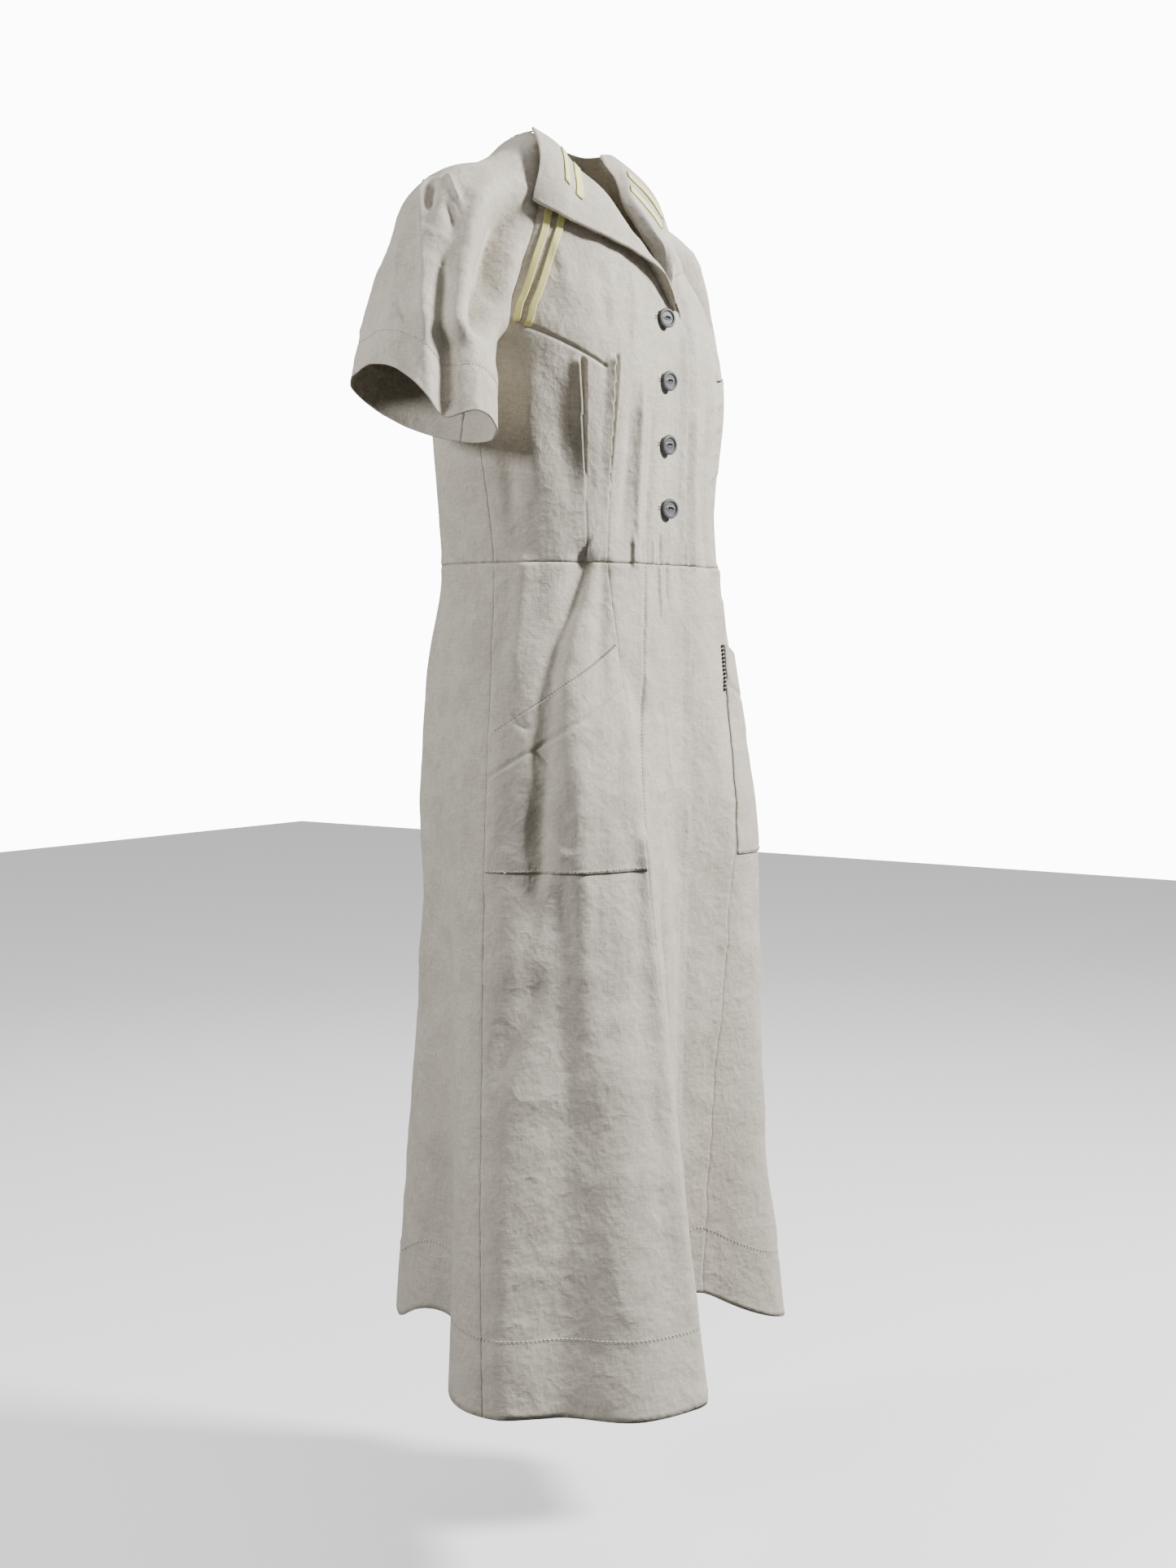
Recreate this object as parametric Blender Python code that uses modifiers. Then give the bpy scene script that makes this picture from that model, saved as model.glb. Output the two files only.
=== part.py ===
"""A short-sleeved, button-front uniform smock dress, in the hollow form that it has when worn.

The origin is midway between the two side-neck points, where the shoulders hold the dress.
The front faces -Y, the wearer's left is +X and +Z is up. Units are metres.
A drop is how far a level lies below the origin. An angle goes round the body's axis, in
degrees: 0 is the centre front, -90 the wearer's right side, 90 the left side, 180 the back.
"""

from collections import namedtuple

import bpy
import numpy as np

COLLECTION = "uniform_smock_dress"

# Cloth and seams
CLOTH = 0.0012
TAPE = 0.0010
SEAM = 0.0002
LAYER_GAP = 0.0005

# Levels, as drops from the side-neck points
WAIST = 0.435
HEM = 1.197
UNDERARM = 0.238
POCKET_BOTTOM = 0.723
AXIS_Y = 0.018

# Front opening, the wearer's right side over the left
OVERLAP_X = 0.024
UNDERLAP_X = -0.024
UNDERLAP_STEP = 0.0026
UNDERLAP_NECK_STEP = 0.0046
V_BOTTOM = 0.184
BUTTON_RADIUS = 0.0095
BUTTON_HEIGHT = 0.0036
BUTTON_SEAT = 0.0008

# Buttons, one row each: how far down, and how far the pull of the cloth moves it across
Button = namedtuple("Button", "drop x")
BUTTONS = (
    Button(0.195, -0.010),
    Button(0.256, -0.007),
    Button(0.318, -0.006),
    Button(0.380, -0.004),
)

# Tape stripes
TAPE_WIDTH = 0.007
COLLAR_TAPE_WIDTH = 0.0088
BODY_TAPES = (0.0115, 0.0245)
BODY_TAPE_TOP = 0.088
BODY_TAPE_END = (0.211, 0.216)
TAPE_GAP = 0.0011
COLLAR_TAPES = (0.185, 0.285)

# One row a level of the body: half its width, then how far the cloth lies in front of and
# behind the axis, and the power of the rounded section (2 is an ellipse)
Section = namedtuple("Section", "drop half_width front back square")
BODY = (
    Section(0.008, 0.073, 0.030, 0.051, 2.1),
    Section(0.025, 0.082, 0.045, 0.062, 2.2),
    Section(0.048, 0.098, 0.058, 0.074, 2.2),
    Section(0.072, 0.117, 0.079, 0.085, 2.2),
    Section(0.106, 0.136, 0.099, 0.097, 2.2),
    Section(0.150, 0.155, 0.113, 0.106, 2.25),
    Section(0.204, 0.168, 0.119, 0.110, 2.3),
    Section(0.260, 0.166, 0.119, 0.109, 2.35),
    Section(0.330, 0.160, 0.118, 0.106, 2.35),
    Section(0.390, 0.153, 0.118, 0.103, 2.35),
    Section(0.435, 0.150, 0.119, 0.101, 2.35),
    Section(0.520, 0.160, 0.126, 0.105, 2.3),
    Section(0.620, 0.174, 0.131, 0.112, 2.2),
    Section(0.723, 0.187, 0.134, 0.121, 2.1),
    Section(0.950, 0.210, 0.145, 0.138, 2.0),
    Section(1.200, 0.235, 0.160, 0.152, 2.0),
)

# Fullness of the cloth: where it is greatest, how far it spreads, and how far it stands out
Fullness = namedtuple("Fullness", "angle drop angle_spread drop_spread out")
FULLNESS = (
    Fullness(-40.0, 0.262, 24.0, 0.075, 0.008),
    Fullness(40.0, 0.262, 24.0, 0.085, 0.015),
    Fullness(44.0, 0.430, 28.0, 0.090, 0.008),
    Fullness(47.0, 0.720, 26.0, 0.220, 0.030),
    Fullness(-47.0, 0.640, 24.0, 0.130, 0.010),
    Fullness(40.0, 0.085, 32.0, 0.065, -0.022),
    Fullness(84.0, 0.010, 34.0, 0.050, -0.006),
)

# Release tucks of each front: the stitched line at the waist, the fold where it opens
Tuck = namedtuple("Tuck", "waist_angle top_angle open_drop closed_drop height")
TUCKS = (
    Tuck(47.5, 51.0, 0.245, 0.380, 0.0055),
    Tuck(39.5, 37.0, 0.240, 0.385, 0.0060),
)
TUCK_WIDTH = 4.2
TUCK_RECESS = 2.2
TUCK_EDGE = 0.25

# The hem's outline, one row a fold: its radius there and the drop at which it begins
Fold = namedtuple("Fold", "angle radius start")
FOLDS = (
    Fold(-152.0, 0.178, 0.50),
    Fold(-122.0, 0.166, 0.55),
    Fold(-98.0, 0.150, 0.56),
    Fold(-79.0, 0.249, 0.52),
    Fold(-70.0, 0.266, 0.50),
    Fold(-56.0, 0.252, 0.48),
    Fold(-40.0, 0.271, 0.50),
    Fold(-23.0, 0.236, 0.58),
    Fold(-11.0, 0.158, 0.52),
    Fold(2.0, 0.118, 0.48),
    Fold(24.0, 0.138, 0.50),
    Fold(36.0, 0.212, 0.52),
    Fold(52.0, 0.216, 0.50),
    Fold(74.0, 0.228, 0.50),
    Fold(98.0, 0.178, 0.55),
    Fold(123.0, 0.206, 0.52),
    Fold(150.0, 0.172, 0.56),
    Fold(176.0, 0.186, 0.55),
)
FOLD_EASE = 1.2

# Where the hem is lifted between its folds
Lift = namedtuple("Lift", "angle height spread")
LIFTS = (
    Lift(22.0, 0.038, 9.0),
    Lift(-112.0, 0.040, 20.0),
    Lift(-150.0, 0.010, 20.0),
    Lift(102.0, 0.020, 16.0),
)

# Seams of the skirt, as angles from the centre front, the same on both sides
SeamLine = namedtuple("SeamLine", "drop princess side")
SEAMS = (
    SeamLine(UNDERARM, 39.0, 90.0),
    SeamLine(WAIST, 39.0, 83.0),
    SeamLine(0.511, 36.0, 82.0),
    SeamLine(0.723, 30.0, 79.0),
    SeamLine(0.950, 26.0, 76.0),
    SeamLine(HEM, 23.0, 71.5),
)

# Rows of the skirt: their drops at the princess seam and at the side seam. The pocket's
# slanted mouth, the stitching of its turned edge and its lower seam are rows.
SkirtRow = namedtuple("SkirtRow", "princess side")
UPPER_ROWS = (
    SkirtRow(WAIST, WAIST),
    SkirtRow(0.458, 0.486),
    SkirtRow(0.485, 0.542),
    SkirtRow(0.511, 0.600),
    SkirtRow(0.551, 0.638),
    SkirtRow(0.606, 0.666),
    SkirtRow(0.664, 0.694),
    SkirtRow(POCKET_BOTTOM, POCKET_BOTTOM),
)
MOUTH_ROW = 3
BOTTOM_ROW = 7
LOWER_STEPS = 6
POCKET_STAND = 0.0025
POCKET_GAP = 0.0009

# The neckline, where the collar rolls over, and the collar's outer edge from its point down
Edge = namedtuple("Edge", "angle drop")
Range = namedtuple("Range", "first last")
ROLL = (
    Edge(84.0, 0.005),
    Edge(64.0, 0.023),
    Edge(50.0, 0.047),
    Edge(34.0, 0.071),
    Edge(24.0, 0.104),
    Edge(15.0, 0.134),
    Edge(5.0, 0.160),
    Edge(-4.5, 0.184),
)
COLLAR_EDGE = (
    Edge(69.5, 0.092),
    Edge(60.0, 0.104),
    Edge(51.0, 0.114),
    Edge(36.0, 0.127),
    Edge(21.0, 0.140),
    Edge(9.0, 0.154),
    Edge(1.0, 0.172),
    Edge(-5.5, 0.194),
)
NECK_LIP = 0.0058
ROLL_STAND = 0.0034
COLLAR_STAND = Range(0.0135, 0.0050)
COLLAR_BULGE = Range(0.0145, 0.0025)
COLLAR_BULGE_WAY = (0.30, -0.85, 0.43)
LEFT_COLLAR_SHARE = 0.5
COLLAR_LENGTH = 0.215
COLLAR_STEPS = 9
COLLAR_ACROSS = (0.0, 0.18, 0.36, 0.60, 0.80, 1.0)
LEFT_COLLAR_END = 0.85
ROLL_LIP = (0.012, 0.004)
ROLL_INSET = 0.0058
SIDE_INSET = 0.0085

# The back neck stand
STAND_ANGLE = 87.0
STAND_SIDE_TOP = 0.006
STAND_BACK_TOP = -0.005
STAND_BASE = 0.0098
STAND_LEAN = 0.009

# The raglan seams, from the neck (0) to the underarm (1)
Raglan = namedtuple("Raglan", "along front_angle front_drop back_angle back_drop")
RAGLAN = (
    Raglan(0.00, 79.0, 0.011, 126.0, 0.0105),
    Raglan(0.12, 72.0, 0.030, 123.0, 0.030),
    Raglan(0.25, 70.0, 0.055, 120.0, 0.055),
    Raglan(0.40, 68.8, 0.085, 117.0, 0.083),
    Raglan(0.55, 68.8, 0.115, 114.5, 0.112),
    Raglan(0.70, 71.0, 0.150, 112.0, 0.145),
    Raglan(0.85, 74.5, 0.192, 107.0, 0.185),
    Raglan(0.94, 80.0, 0.224, 99.0, 0.220),
    Raglan(1.00, 90.0, UNDERARM, 90.0, UNDERARM),
)

# Sections of the wearer's left sleeve, from the neck (0) by the underarm (1) to its hem (2):
# the top line, the middle, the reach to front and back, and how far round (90 is closed)
Sleeve = namedtuple("Sleeve", "along top_x top_y top_z mid_x mid_y mid_z front back wrap")
SLEEVE = (
    Sleeve(0.00, 0.076, 0.018, -0.009, 0.064, 0.024, -0.012, 0.028, 0.030, 0.0),
    Sleeve(0.15, 0.097, 0.021, -0.029, 0.084, 0.025, -0.039, 0.031, 0.038, 0.0),
    Sleeve(0.30, 0.128, 0.025, -0.046, 0.104, 0.026, -0.066, 0.041, 0.048, 0.0),
    Sleeve(0.50, 0.178, 0.033, -0.064, 0.132, 0.028, -0.105, 0.050, 0.061, 6.0),
    Sleeve(0.65, 0.210, 0.034, -0.090, 0.155, 0.028, -0.140, 0.054, 0.067, 18.0),
    Sleeve(0.82, 0.235, 0.032, -0.134, 0.183, 0.027, -0.176, 0.060, 0.069, 48.0),
    Sleeve(1.00, 0.254, 0.028, -0.184, 0.208, 0.023, -0.212, 0.063, 0.072, 90.0),
    Sleeve(1.50, 0.269, 0.022, -0.226, 0.225, 0.015, -0.254, 0.066, 0.076, 90.0),
    Sleeve(2.00, 0.282, 0.017, -0.261, 0.239, 0.009, -0.293, 0.071, 0.081, 90.0),
)
SLEEVE_FRONT_DROP = 0.012
SLEEVE_DIP = 0.026
SLEEVE_DIP_PLACE = (44.0, 27.0)
SLEEVE_ROWS = (0.0, 0.07, 0.17, 0.28, 0.39, 0.50, 0.61, 0.72, 0.82, 0.91, 1.0)
SLEEVE_LOWER_ROWS = (1.2, 1.4, 1.6, 1.8, 2.0)
SLEEVE_COLUMNS = 24
SLEEVE_HOLD = 0.20
LEFT_SLEEVE_SHIFT = (-0.022, 0.046, 0.0)
LEFT_SLEEVE_DEPTH = 0.86
LEFT_NECK_SHIFT = (-0.008, 0.004, -0.006)

# Folds of the sleeve: where round it, how deep, how wide, where along it each one lies. The
# deep one is the notch between the sleeve and the body.
SleeveFold = namedtuple("SleeveFold", "angle depth spread start end")
SLEEVE_FOLDS = (
    SleeveFold(10.0, -0.0250, 15.0, 0.40, 1.25),
    SleeveFold(38.0, 0.0140, 13.0, 0.40, 1.40),
    SleeveFold(62.0, 0.0050, 10.0, 0.50, 3.00),
    SleeveFold(46.0, -0.0075, 10.0, 0.60, 3.00),
    SleeveFold(130.0, -0.0050, 16.0, 0.60, 3.00),
)
FOLD_RUN = 0.25

# Columns of each panel
OVERLAP_COLUMNS = 4
BACK_COLUMNS = 16
CENTRE_SKIRT_COLUMNS = 6
SIDE_SKIRT_COLUMNS = 9
BACK_SKIRT_COLUMNS = 24
BODICE_DROPS = (0.262, 0.292, 0.322, 0.352, 0.380, 0.408)

# Colours of the materials
GREIGE = (0.577, 0.552, 0.515, 1.0)
GREIGE_SHADE = (0.535, 0.510, 0.473, 1.0)
YELLOW = (0.80, 0.78, 0.38, 1.0)
GREY = (0.20, 0.205, 0.215, 1.0)


def through(at, stops, values):
    """A smooth curve through the values at the stops, read at other places."""
    stops = np.asarray(stops, float)
    values = np.asarray(values, float)
    slope = np.gradient(values, stops, axis=0)
    at = np.clip(np.asarray(at, float), stops[0], stops[-1])
    i = np.clip(np.searchsorted(stops, at, side="right") - 1, 0, len(stops) - 2)
    step = stops[i + 1] - stops[i]
    t = (at - stops[i]) / step
    if values.ndim > 1:
        step = step[..., None]
        t = t[..., None]
    start = (1 + 2 * t) * (1 - t) ** 2 * values[i] + t * (1 - t) ** 2 * step * slope[i]
    end = t * t * (3 - 2 * t) * values[i + 1] - t * t * (1 - t) * step * slope[i + 1]
    return start + end


def columns(rows, *names):
    """The named columns of a table, as arrays."""
    return [np.array([getattr(row, name) for row in rows]) for name in names]


def soft_step(at, low, high):
    """0 below low, 1 above high, and a soft rise between them."""
    t = np.clip((at - low) / (high - low), 0, 1)
    return t * t * (3 - 2 * t)


def bell(at, middle, spread):
    """1 at the middle, falling softly to nothing about two spreads away."""
    return np.exp(-(((at - middle) / spread) ** 2))


def turn(angle):
    """An angle brought to between -180 and 180 degrees."""
    return (np.asarray(angle, float) + 180.0) % 360.0 - 180.0


def section_radius(angle, drop):
    """The radius of the rounded section at a level."""
    drops, half_width, front, back, square = columns(BODY, *Section._fields)
    table = through(drop, drops, np.stack([half_width, front, back, square], axis=1))
    side = np.abs(np.sin(np.radians(angle))) / table[..., 0]
    facing = np.cos(np.radians(angle))
    depth = np.where(facing > 0, table[..., 1], table[..., 2])
    power = table[..., 3]
    return (side**power + (np.abs(facing) / depth) ** power) ** (-1 / power)


def fold_value(angle, name):
    """A column of the fold table, read smoothly all round the hem."""
    angles, values = columns(FOLDS, "angle", name)
    around = np.concatenate([angles[-3:] - 360, angles, angles[:3] + 360])
    return through(turn(angle), around, np.concatenate([values[-3:], values, values[:3]]))


def skirt_fold(angle, drop):
    """How far the skirt's folds move the cloth from the plain section."""
    start = fold_value(angle, "start")
    grown = np.clip((drop - start) / (HEM - start), 0, None) ** FOLD_EASE
    return grown * (fold_value(angle, "radius") - section_radius(angle, np.full_like(drop, HEM)))


def tuck_height(angle, drop):
    """How far the release tucks raise the front, from the side to an edge over a recess."""
    total = np.zeros_like(drop)
    for tuck in TUCKS:
        share = (drop - tuck.open_drop) / (WAIST - tuck.open_drop)
        fold = tuck.top_angle + np.clip(share, 0, 1) * (tuck.waist_angle - tuck.top_angle)
        opened = soft_step(drop, tuck.open_drop - 0.015, tuck.open_drop + 0.05)
        opened = opened * (1 - soft_step(drop, tuck.closed_drop - 0.08, tuck.closed_drop))
        past = np.abs(turn(angle)) - fold
        raised = np.clip(1 - past / TUCK_WIDTH, 0, 1)
        sunk = -0.5 * np.clip(1 + past / TUCK_RECESS, 0, 1)
        total = total + tuck.height * opened * np.where(past > 0, raised, sunk)
    return np.where(drop < WAIST, total, 0)


def body_radius(angle, drop):
    """The radius of the cloth's outer face at an angle and a drop."""
    radius = section_radius(angle, drop) + skirt_fold(angle, drop) + tuck_height(angle, drop)
    for full in FULLNESS:
        swell = bell(turn(angle), full.angle, full.angle_spread)
        radius = radius + full.out * swell * bell(drop, full.drop, full.drop_spread)
    return radius


def body_point(angle, drop, out=0.0):
    """A point of the body's cloth, moved out from it level by the given amount."""
    angle, drop = np.broadcast_arrays(np.asarray(angle, float), np.asarray(drop, float))
    radius = body_radius(angle, drop) + out
    x = radius * np.sin(np.radians(angle))
    y = AXIS_Y - radius * np.cos(np.radians(angle))
    return np.stack([x, y, -drop], axis=-1)


def angle_at_x(x, drop):
    """The angle of the front's point that lies at a distance x from the centre."""
    angle = np.zeros_like(np.asarray(drop, float))
    for _ in range(12):
        angle = np.degrees(np.arcsin(np.clip(x / body_radius(angle, drop), -0.95, 0.95)))
    return angle


def hem_drop(angle):
    """The drop of the hem, which rises in the valley of the left front."""
    return HEM - sum(lift.height * bell(turn(angle), lift.angle, lift.spread) for lift in LIFTS)


def seam_angle(name, drop):
    """The angle of a named seam at a drop."""
    drops, angles = columns(SEAMS, "drop", name)
    return through(drop, drops, angles)


def edge_through(rows, share):
    """A point of an edge table, by its share of the way along, as angle and drop."""
    angles, drops = columns(rows, "angle", "drop")
    places = np.linspace(0, 1, len(rows))
    return through(share, places, angles), through(share, places, drops)


def raglan(name, along):
    """A column of the raglan table at a place along the seam."""
    stops, values = columns(RAGLAN, "along", name)
    return through(along, stops, values)


def link(item, name):
    """Put a new object into the dress's collection under its name."""
    item.name = name
    bpy.data.collections[COLLECTION].objects.link(item)


def material(name, colour, roughness):
    """A plain surface with the piece's colour and roughness."""
    surface = bpy.data.materials.new(name)
    surface.use_nodes = True
    shader = surface.node_tree.nodes["Principled BSDF"]
    shader.inputs["Base Color"].default_value = colour
    shader.inputs["Roughness"].default_value = roughness
    shader.inputs["Metallic"].default_value = 0.0
    return surface


def cloth(name, grid, colour=GREIGE, thickness=CLOTH, closed=False):
    """A cloth piece from a grid of points on its outer face, rows running downward.

    The columns go round toward the wearer's left. Solidify gives the wall inside them.
    """
    rows, count = grid.shape[:2]
    faces = []
    for r in range(rows - 1):
        for c in range(count if closed else count - 1):
            right = (c + 1) % count
            faces.append((r * count + c, (r + 1) * count + c, (r + 1) * count + right, r * count + right))
    mesh = bpy.data.meshes.new(name)
    mesh.from_pydata(grid.reshape(-1, 3).tolist(), [], faces)
    mesh.shade_smooth()
    mesh.materials.append(material(name, colour, 0.9))
    piece = bpy.data.objects.new(name, mesh)
    link(piece, name)
    wall = piece.modifiers.new("wall", "SOLIDIFY")
    wall.thickness = thickness
    wall.offset = -1
    return piece


def shares(count):
    """Shares from 0 to 1 for a panel's columns, closer together at its seams."""
    even = np.linspace(0, 1, count + 1)
    return even - 0.6 * np.sin(2 * np.pi * even) / (2 * np.pi)


def spaced(low, high, count):
    """Columns of angles from low to high, one row for each pair."""
    return low[:, None] + (high - low)[:, None] * shares(count)[None, :]


def seam_inset(angle, drop):
    """The angle that half a seam's gap takes at that place."""
    return np.degrees(SEAM / body_radius(angle, drop))


def bodice_rows(name):
    """The drops of a bodice panel's rows, which meet the sleeve's rows at the raglan seam."""
    upper = raglan(name, np.array(SLEEVE_ROWS))
    return np.concatenate([upper, BODICE_DROPS, [WAIST - SEAM]])


def outer_angle(name, drops):
    """The angle of the raglan seam and, below it, of the side seam, for each row."""
    along = np.array(SLEEVE_ROWS)
    upper = raglan(name, along)
    return np.concatenate([upper, seam_angle("side", drops[len(along):])])


def inner_angle(side, drops):
    """The angle of a front's inner edge: the neckline, then the edge of the overlap."""
    angles, levels = columns(ROLL, "angle", "drop")
    neck = through(drops - NECK_LIP, levels, side * angles)
    reach = OVERLAP_X if side < 0 else UNDERLAP_X
    opening = angle_at_x(reach, drops)
    turned = soft_step(drops, V_BOTTOM - 0.004, V_BOTTOM + 0.016)
    return neck + (opening - neck) * turned


def underlap(side, grid_angle, drop):
    """How far in the left front and its collar run under the right ones."""
    if side < 0:
        return np.zeros_like(drop)
    covered = angle_at_x(OVERLAP_X, drop)
    step = UNDERLAP_STEP + UNDERLAP_NECK_STEP * (1 - soft_step(drop, 0.20, 0.24))
    return -step * (1 - soft_step(grid_angle, covered + 1.5, covered + 9.0))


def overlap_columns(side, drops):
    """The angles of the columns that both fronts share where one lies over the other."""
    places = np.linspace(UNDERLAP_X, OVERLAP_X, OVERLAP_COLUMNS + 1)[::side]
    return np.stack([side * angle_at_x(x, drops) for x in places], axis=-1)


def front_columns(side, drops, inner, outer):
    """The columns of a bodice front, which follow its tucks below the bust."""
    reach = np.clip((drops - TUCKS[0].open_drop) / (WAIST - TUCKS[0].open_drop), 0, 1)
    second, first = (tuck.top_angle + reach * (tuck.waist_angle - tuck.top_angle) for tuck in TUCKS)
    keys = list(overlap_columns(side, drops).T)
    keys += [np.full_like(drops, 17.0), np.full_like(drops, 24.0), np.full_like(drops, 30.0)]
    for fold in (first, second):
        keys += [fold - TUCK_RECESS, fold - TUCK_EDGE, fold + TUCK_EDGE, fold + TUCK_WIDTH]
    keys += [np.full_like(drops, 62.0), np.full_like(drops, 72.0), side * outer]
    keyed = np.stack(keys, axis=1)
    even = side * inner[:, None] + (side * (outer - inner))[:, None] * shares(len(keys) - 1)
    blend = soft_step(drops, 0.20, 0.255)[:, None]
    angle = side * (even + (keyed - even) * blend)
    return angle if side > 0 else angle[:, ::-1]


def bodice_front(side):
    """One front of the bodice, from its inner edge to the raglan and side seams."""
    drops = bodice_rows("front_drop")[2:]
    outer = side * outer_angle("front_angle", bodice_rows("front_drop"))[2:]
    outer = outer - side * seam_inset(outer, drops)
    angle = front_columns(side, drops, inner_angle(side, drops), outer)
    drop = np.broadcast_to(drops[:, None], angle.shape)
    return body_point(angle, drop, underlap(side, angle, drop))


def bodice_back():
    """The back of the bodice, between the raglan and side seams."""
    drops = bodice_rows("back_drop")
    outer = outer_angle("back_angle", drops)
    outer = outer + seam_inset(outer, drops)
    angle = spaced(outer, 360 - outer, BACK_COLUMNS)
    return body_point(angle, np.broadcast_to(drops[:, None], angle.shape))


def skirt_drops(row, share, angle):
    """The drop of a skirt row, at a share of the way from the princess to the side seam."""
    if row <= BOTTOM_ROW:
        level = UPPER_ROWS[row]
        top = WAIST + SEAM if row == 0 else 0.0
        return np.maximum(level.princess + share * (level.side - level.princess), top)
    down = (row - BOTTOM_ROW) / LOWER_STEPS
    return POCKET_BOTTOM + down * (hem_drop(angle) - POCKET_BOTTOM)


def skirt_row_angles(side, name, row):
    """The angle and drop at which a skirt row meets a seam."""
    share = 0.0 if name == "princess" else 1.0
    angle = np.array(side * 50.0)
    drop = np.array(WAIST)
    for _ in range(6):
        drop = skirt_drops(row, share, angle)
        angle = side * seam_angle(name, drop)
    return float(angle), float(drop)


def side_skirt_row(side, row, inset=1.0):
    """Angles and drops of one row of the side front panel."""
    inner, inner_drop = skirt_row_angles(side, "princess", row)
    outer, outer_drop = skirt_row_angles(side, "side", row)
    inner = inner + inset * side * float(seam_inset(inner, np.array(inner_drop)))
    outer = outer - inset * side * float(seam_inset(outer, np.array(outer_drop)))
    share = shares(SIDE_SKIRT_COLUMNS)
    angle = inner + (outer - inner) * share
    drop = skirt_drops(row, share, angle)
    return angle, drop


def side_skirt(side, first=0, last=BOTTOM_ROW + LOWER_STEPS, out=0.0, inset=1.0):
    """A grid of the side front panel, or of what lies on it, between two of its rows."""
    grid = []
    for row in range(first, last + 1):
        angle, drop = side_skirt_row(side, row, inset)
        grid.append(body_point(angle, drop, out))
    grid = np.array(grid)
    return grid if side > 0 else grid[:, ::-1]


def pocket(side):
    """The pocket, made from the panel's points and moved out, fuller in its middle."""
    grid = side_skirt(side, MOUTH_ROW, BOTTOM_ROW, CLOTH + POCKET_GAP)
    rows, count = grid.shape[:2]
    across = np.sin(np.pi * np.linspace(0, 1, count)) ** 0.7
    down = 1 - np.linspace(0, 1, rows) ** 2
    outward = grid - np.array([0.0, AXIS_Y, 0.0])
    outward[..., 2] = 0
    outward = outward / np.linalg.norm(outward, axis=-1, keepdims=True)
    grid = grid + outward * (POCKET_STAND * down[:, None] * across[None, :])[..., None]
    grid[-1, :, 2] = grid[-1, :, 2] + LAYER_GAP
    return grid


def centre_skirt(side):
    """One front of the skirt, from the edge of the overlap to the princess seam."""
    rows = []
    for row in range(BOTTOM_ROW + LOWER_STEPS + 1):
        outer, drop = skirt_row_angles(side, "princess", row)
        outer = outer - side * float(seam_inset(outer, np.array(drop)))
        over = overlap_columns(side, np.array(drop))
        rest = np.linspace(over[-1], side * outer, CENTRE_SKIRT_COLUMNS + 1)[1:]
        angle = side * np.concatenate([over, rest])
        level = skirt_drops(row, 0.0, angle)
        points = body_point(angle, level, underlap(side, angle, level))
        rows.append(points if side > 0 else points[::-1])
    return np.array(rows)


def back_skirt():
    """The back of the skirt, from side seam to side seam."""
    rows = []
    for row in range(BOTTOM_ROW + LOWER_STEPS + 1):
        right, drop = skirt_row_angles(-1, "side", row)
        left, _ = skirt_row_angles(1, "side", row)
        gap = float(seam_inset(right, np.array(drop)))
        angle = left + gap + (360 + right - left - 2 * gap) * shares(BACK_SKIRT_COLUMNS)
        rows.append(body_point(angle, skirt_drops(row, 1.0, angle)))
    return np.array(rows)


def sleeve_row(along, side):
    """One row of a sleeve, from the front seam over the top to the back seam."""
    stops = columns(SLEEVE, "along")[0]
    table = np.array([row[1:] for row in SLEEVE])
    row = Sleeve(along, *through(along, stops, table))
    wrap = np.clip(row.wrap, 0, 90)
    turned = np.radians(np.linspace(-wrap, 180 + wrap, SLEEVE_COLUMNS + 1))
    middle = np.array([row.mid_x, row.mid_y, row.mid_z])
    up = np.array([row.top_x, row.top_y, row.top_z]) - middle
    reach = np.where(np.cos(turned) > 0, row.front, row.back)
    folded = np.zeros_like(turned)
    for fold in SLEEVE_FOLDS:
        grown = soft_step(along, fold.start, fold.start + FOLD_RUN)
        grown = grown * (1 - soft_step(along, fold.end - FOLD_RUN, fold.end))
        folded = folded + fold.depth * grown * bell(np.degrees(turned), fold.angle, fold.spread)
    points = middle + np.outer(np.sin(turned), up)
    points = points + np.outer(folded * np.sin(turned), up / np.linalg.norm(up))
    points[:, 1] -= (reach + folded) * np.cos(turned)
    points[:, 2] -= SLEEVE_FRONT_DROP * soft_step(along, 0.6, 2.0) * np.cos(turned)
    dip = bell(np.degrees(turned), *SLEEVE_DIP_PLACE)
    points[:, 2] -= SLEEVE_DIP * soft_step(along, 1.0, 2.0) * dip
    if side > 0:
        lean = soft_step(along, 0.45, 1.9)
        points = points + lean * np.array(LEFT_SLEEVE_SHIFT)
        points = points + bell(along, 0.15, 0.25) * np.array(LEFT_NECK_SHIFT)
        middle_y = middle[1] + lean * LEFT_SLEEVE_SHIFT[1]
        points[:, 1] = middle_y + (points[:, 1] - middle_y) * (1 - lean * (1 - LEFT_SLEEVE_DEPTH))
    return points


def seam_point(name, along):
    """A point of the front or back raglan seam of the wearer's left side."""
    return body_point(raglan(name + "_angle", along), raglan(name + "_drop", along))


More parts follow.
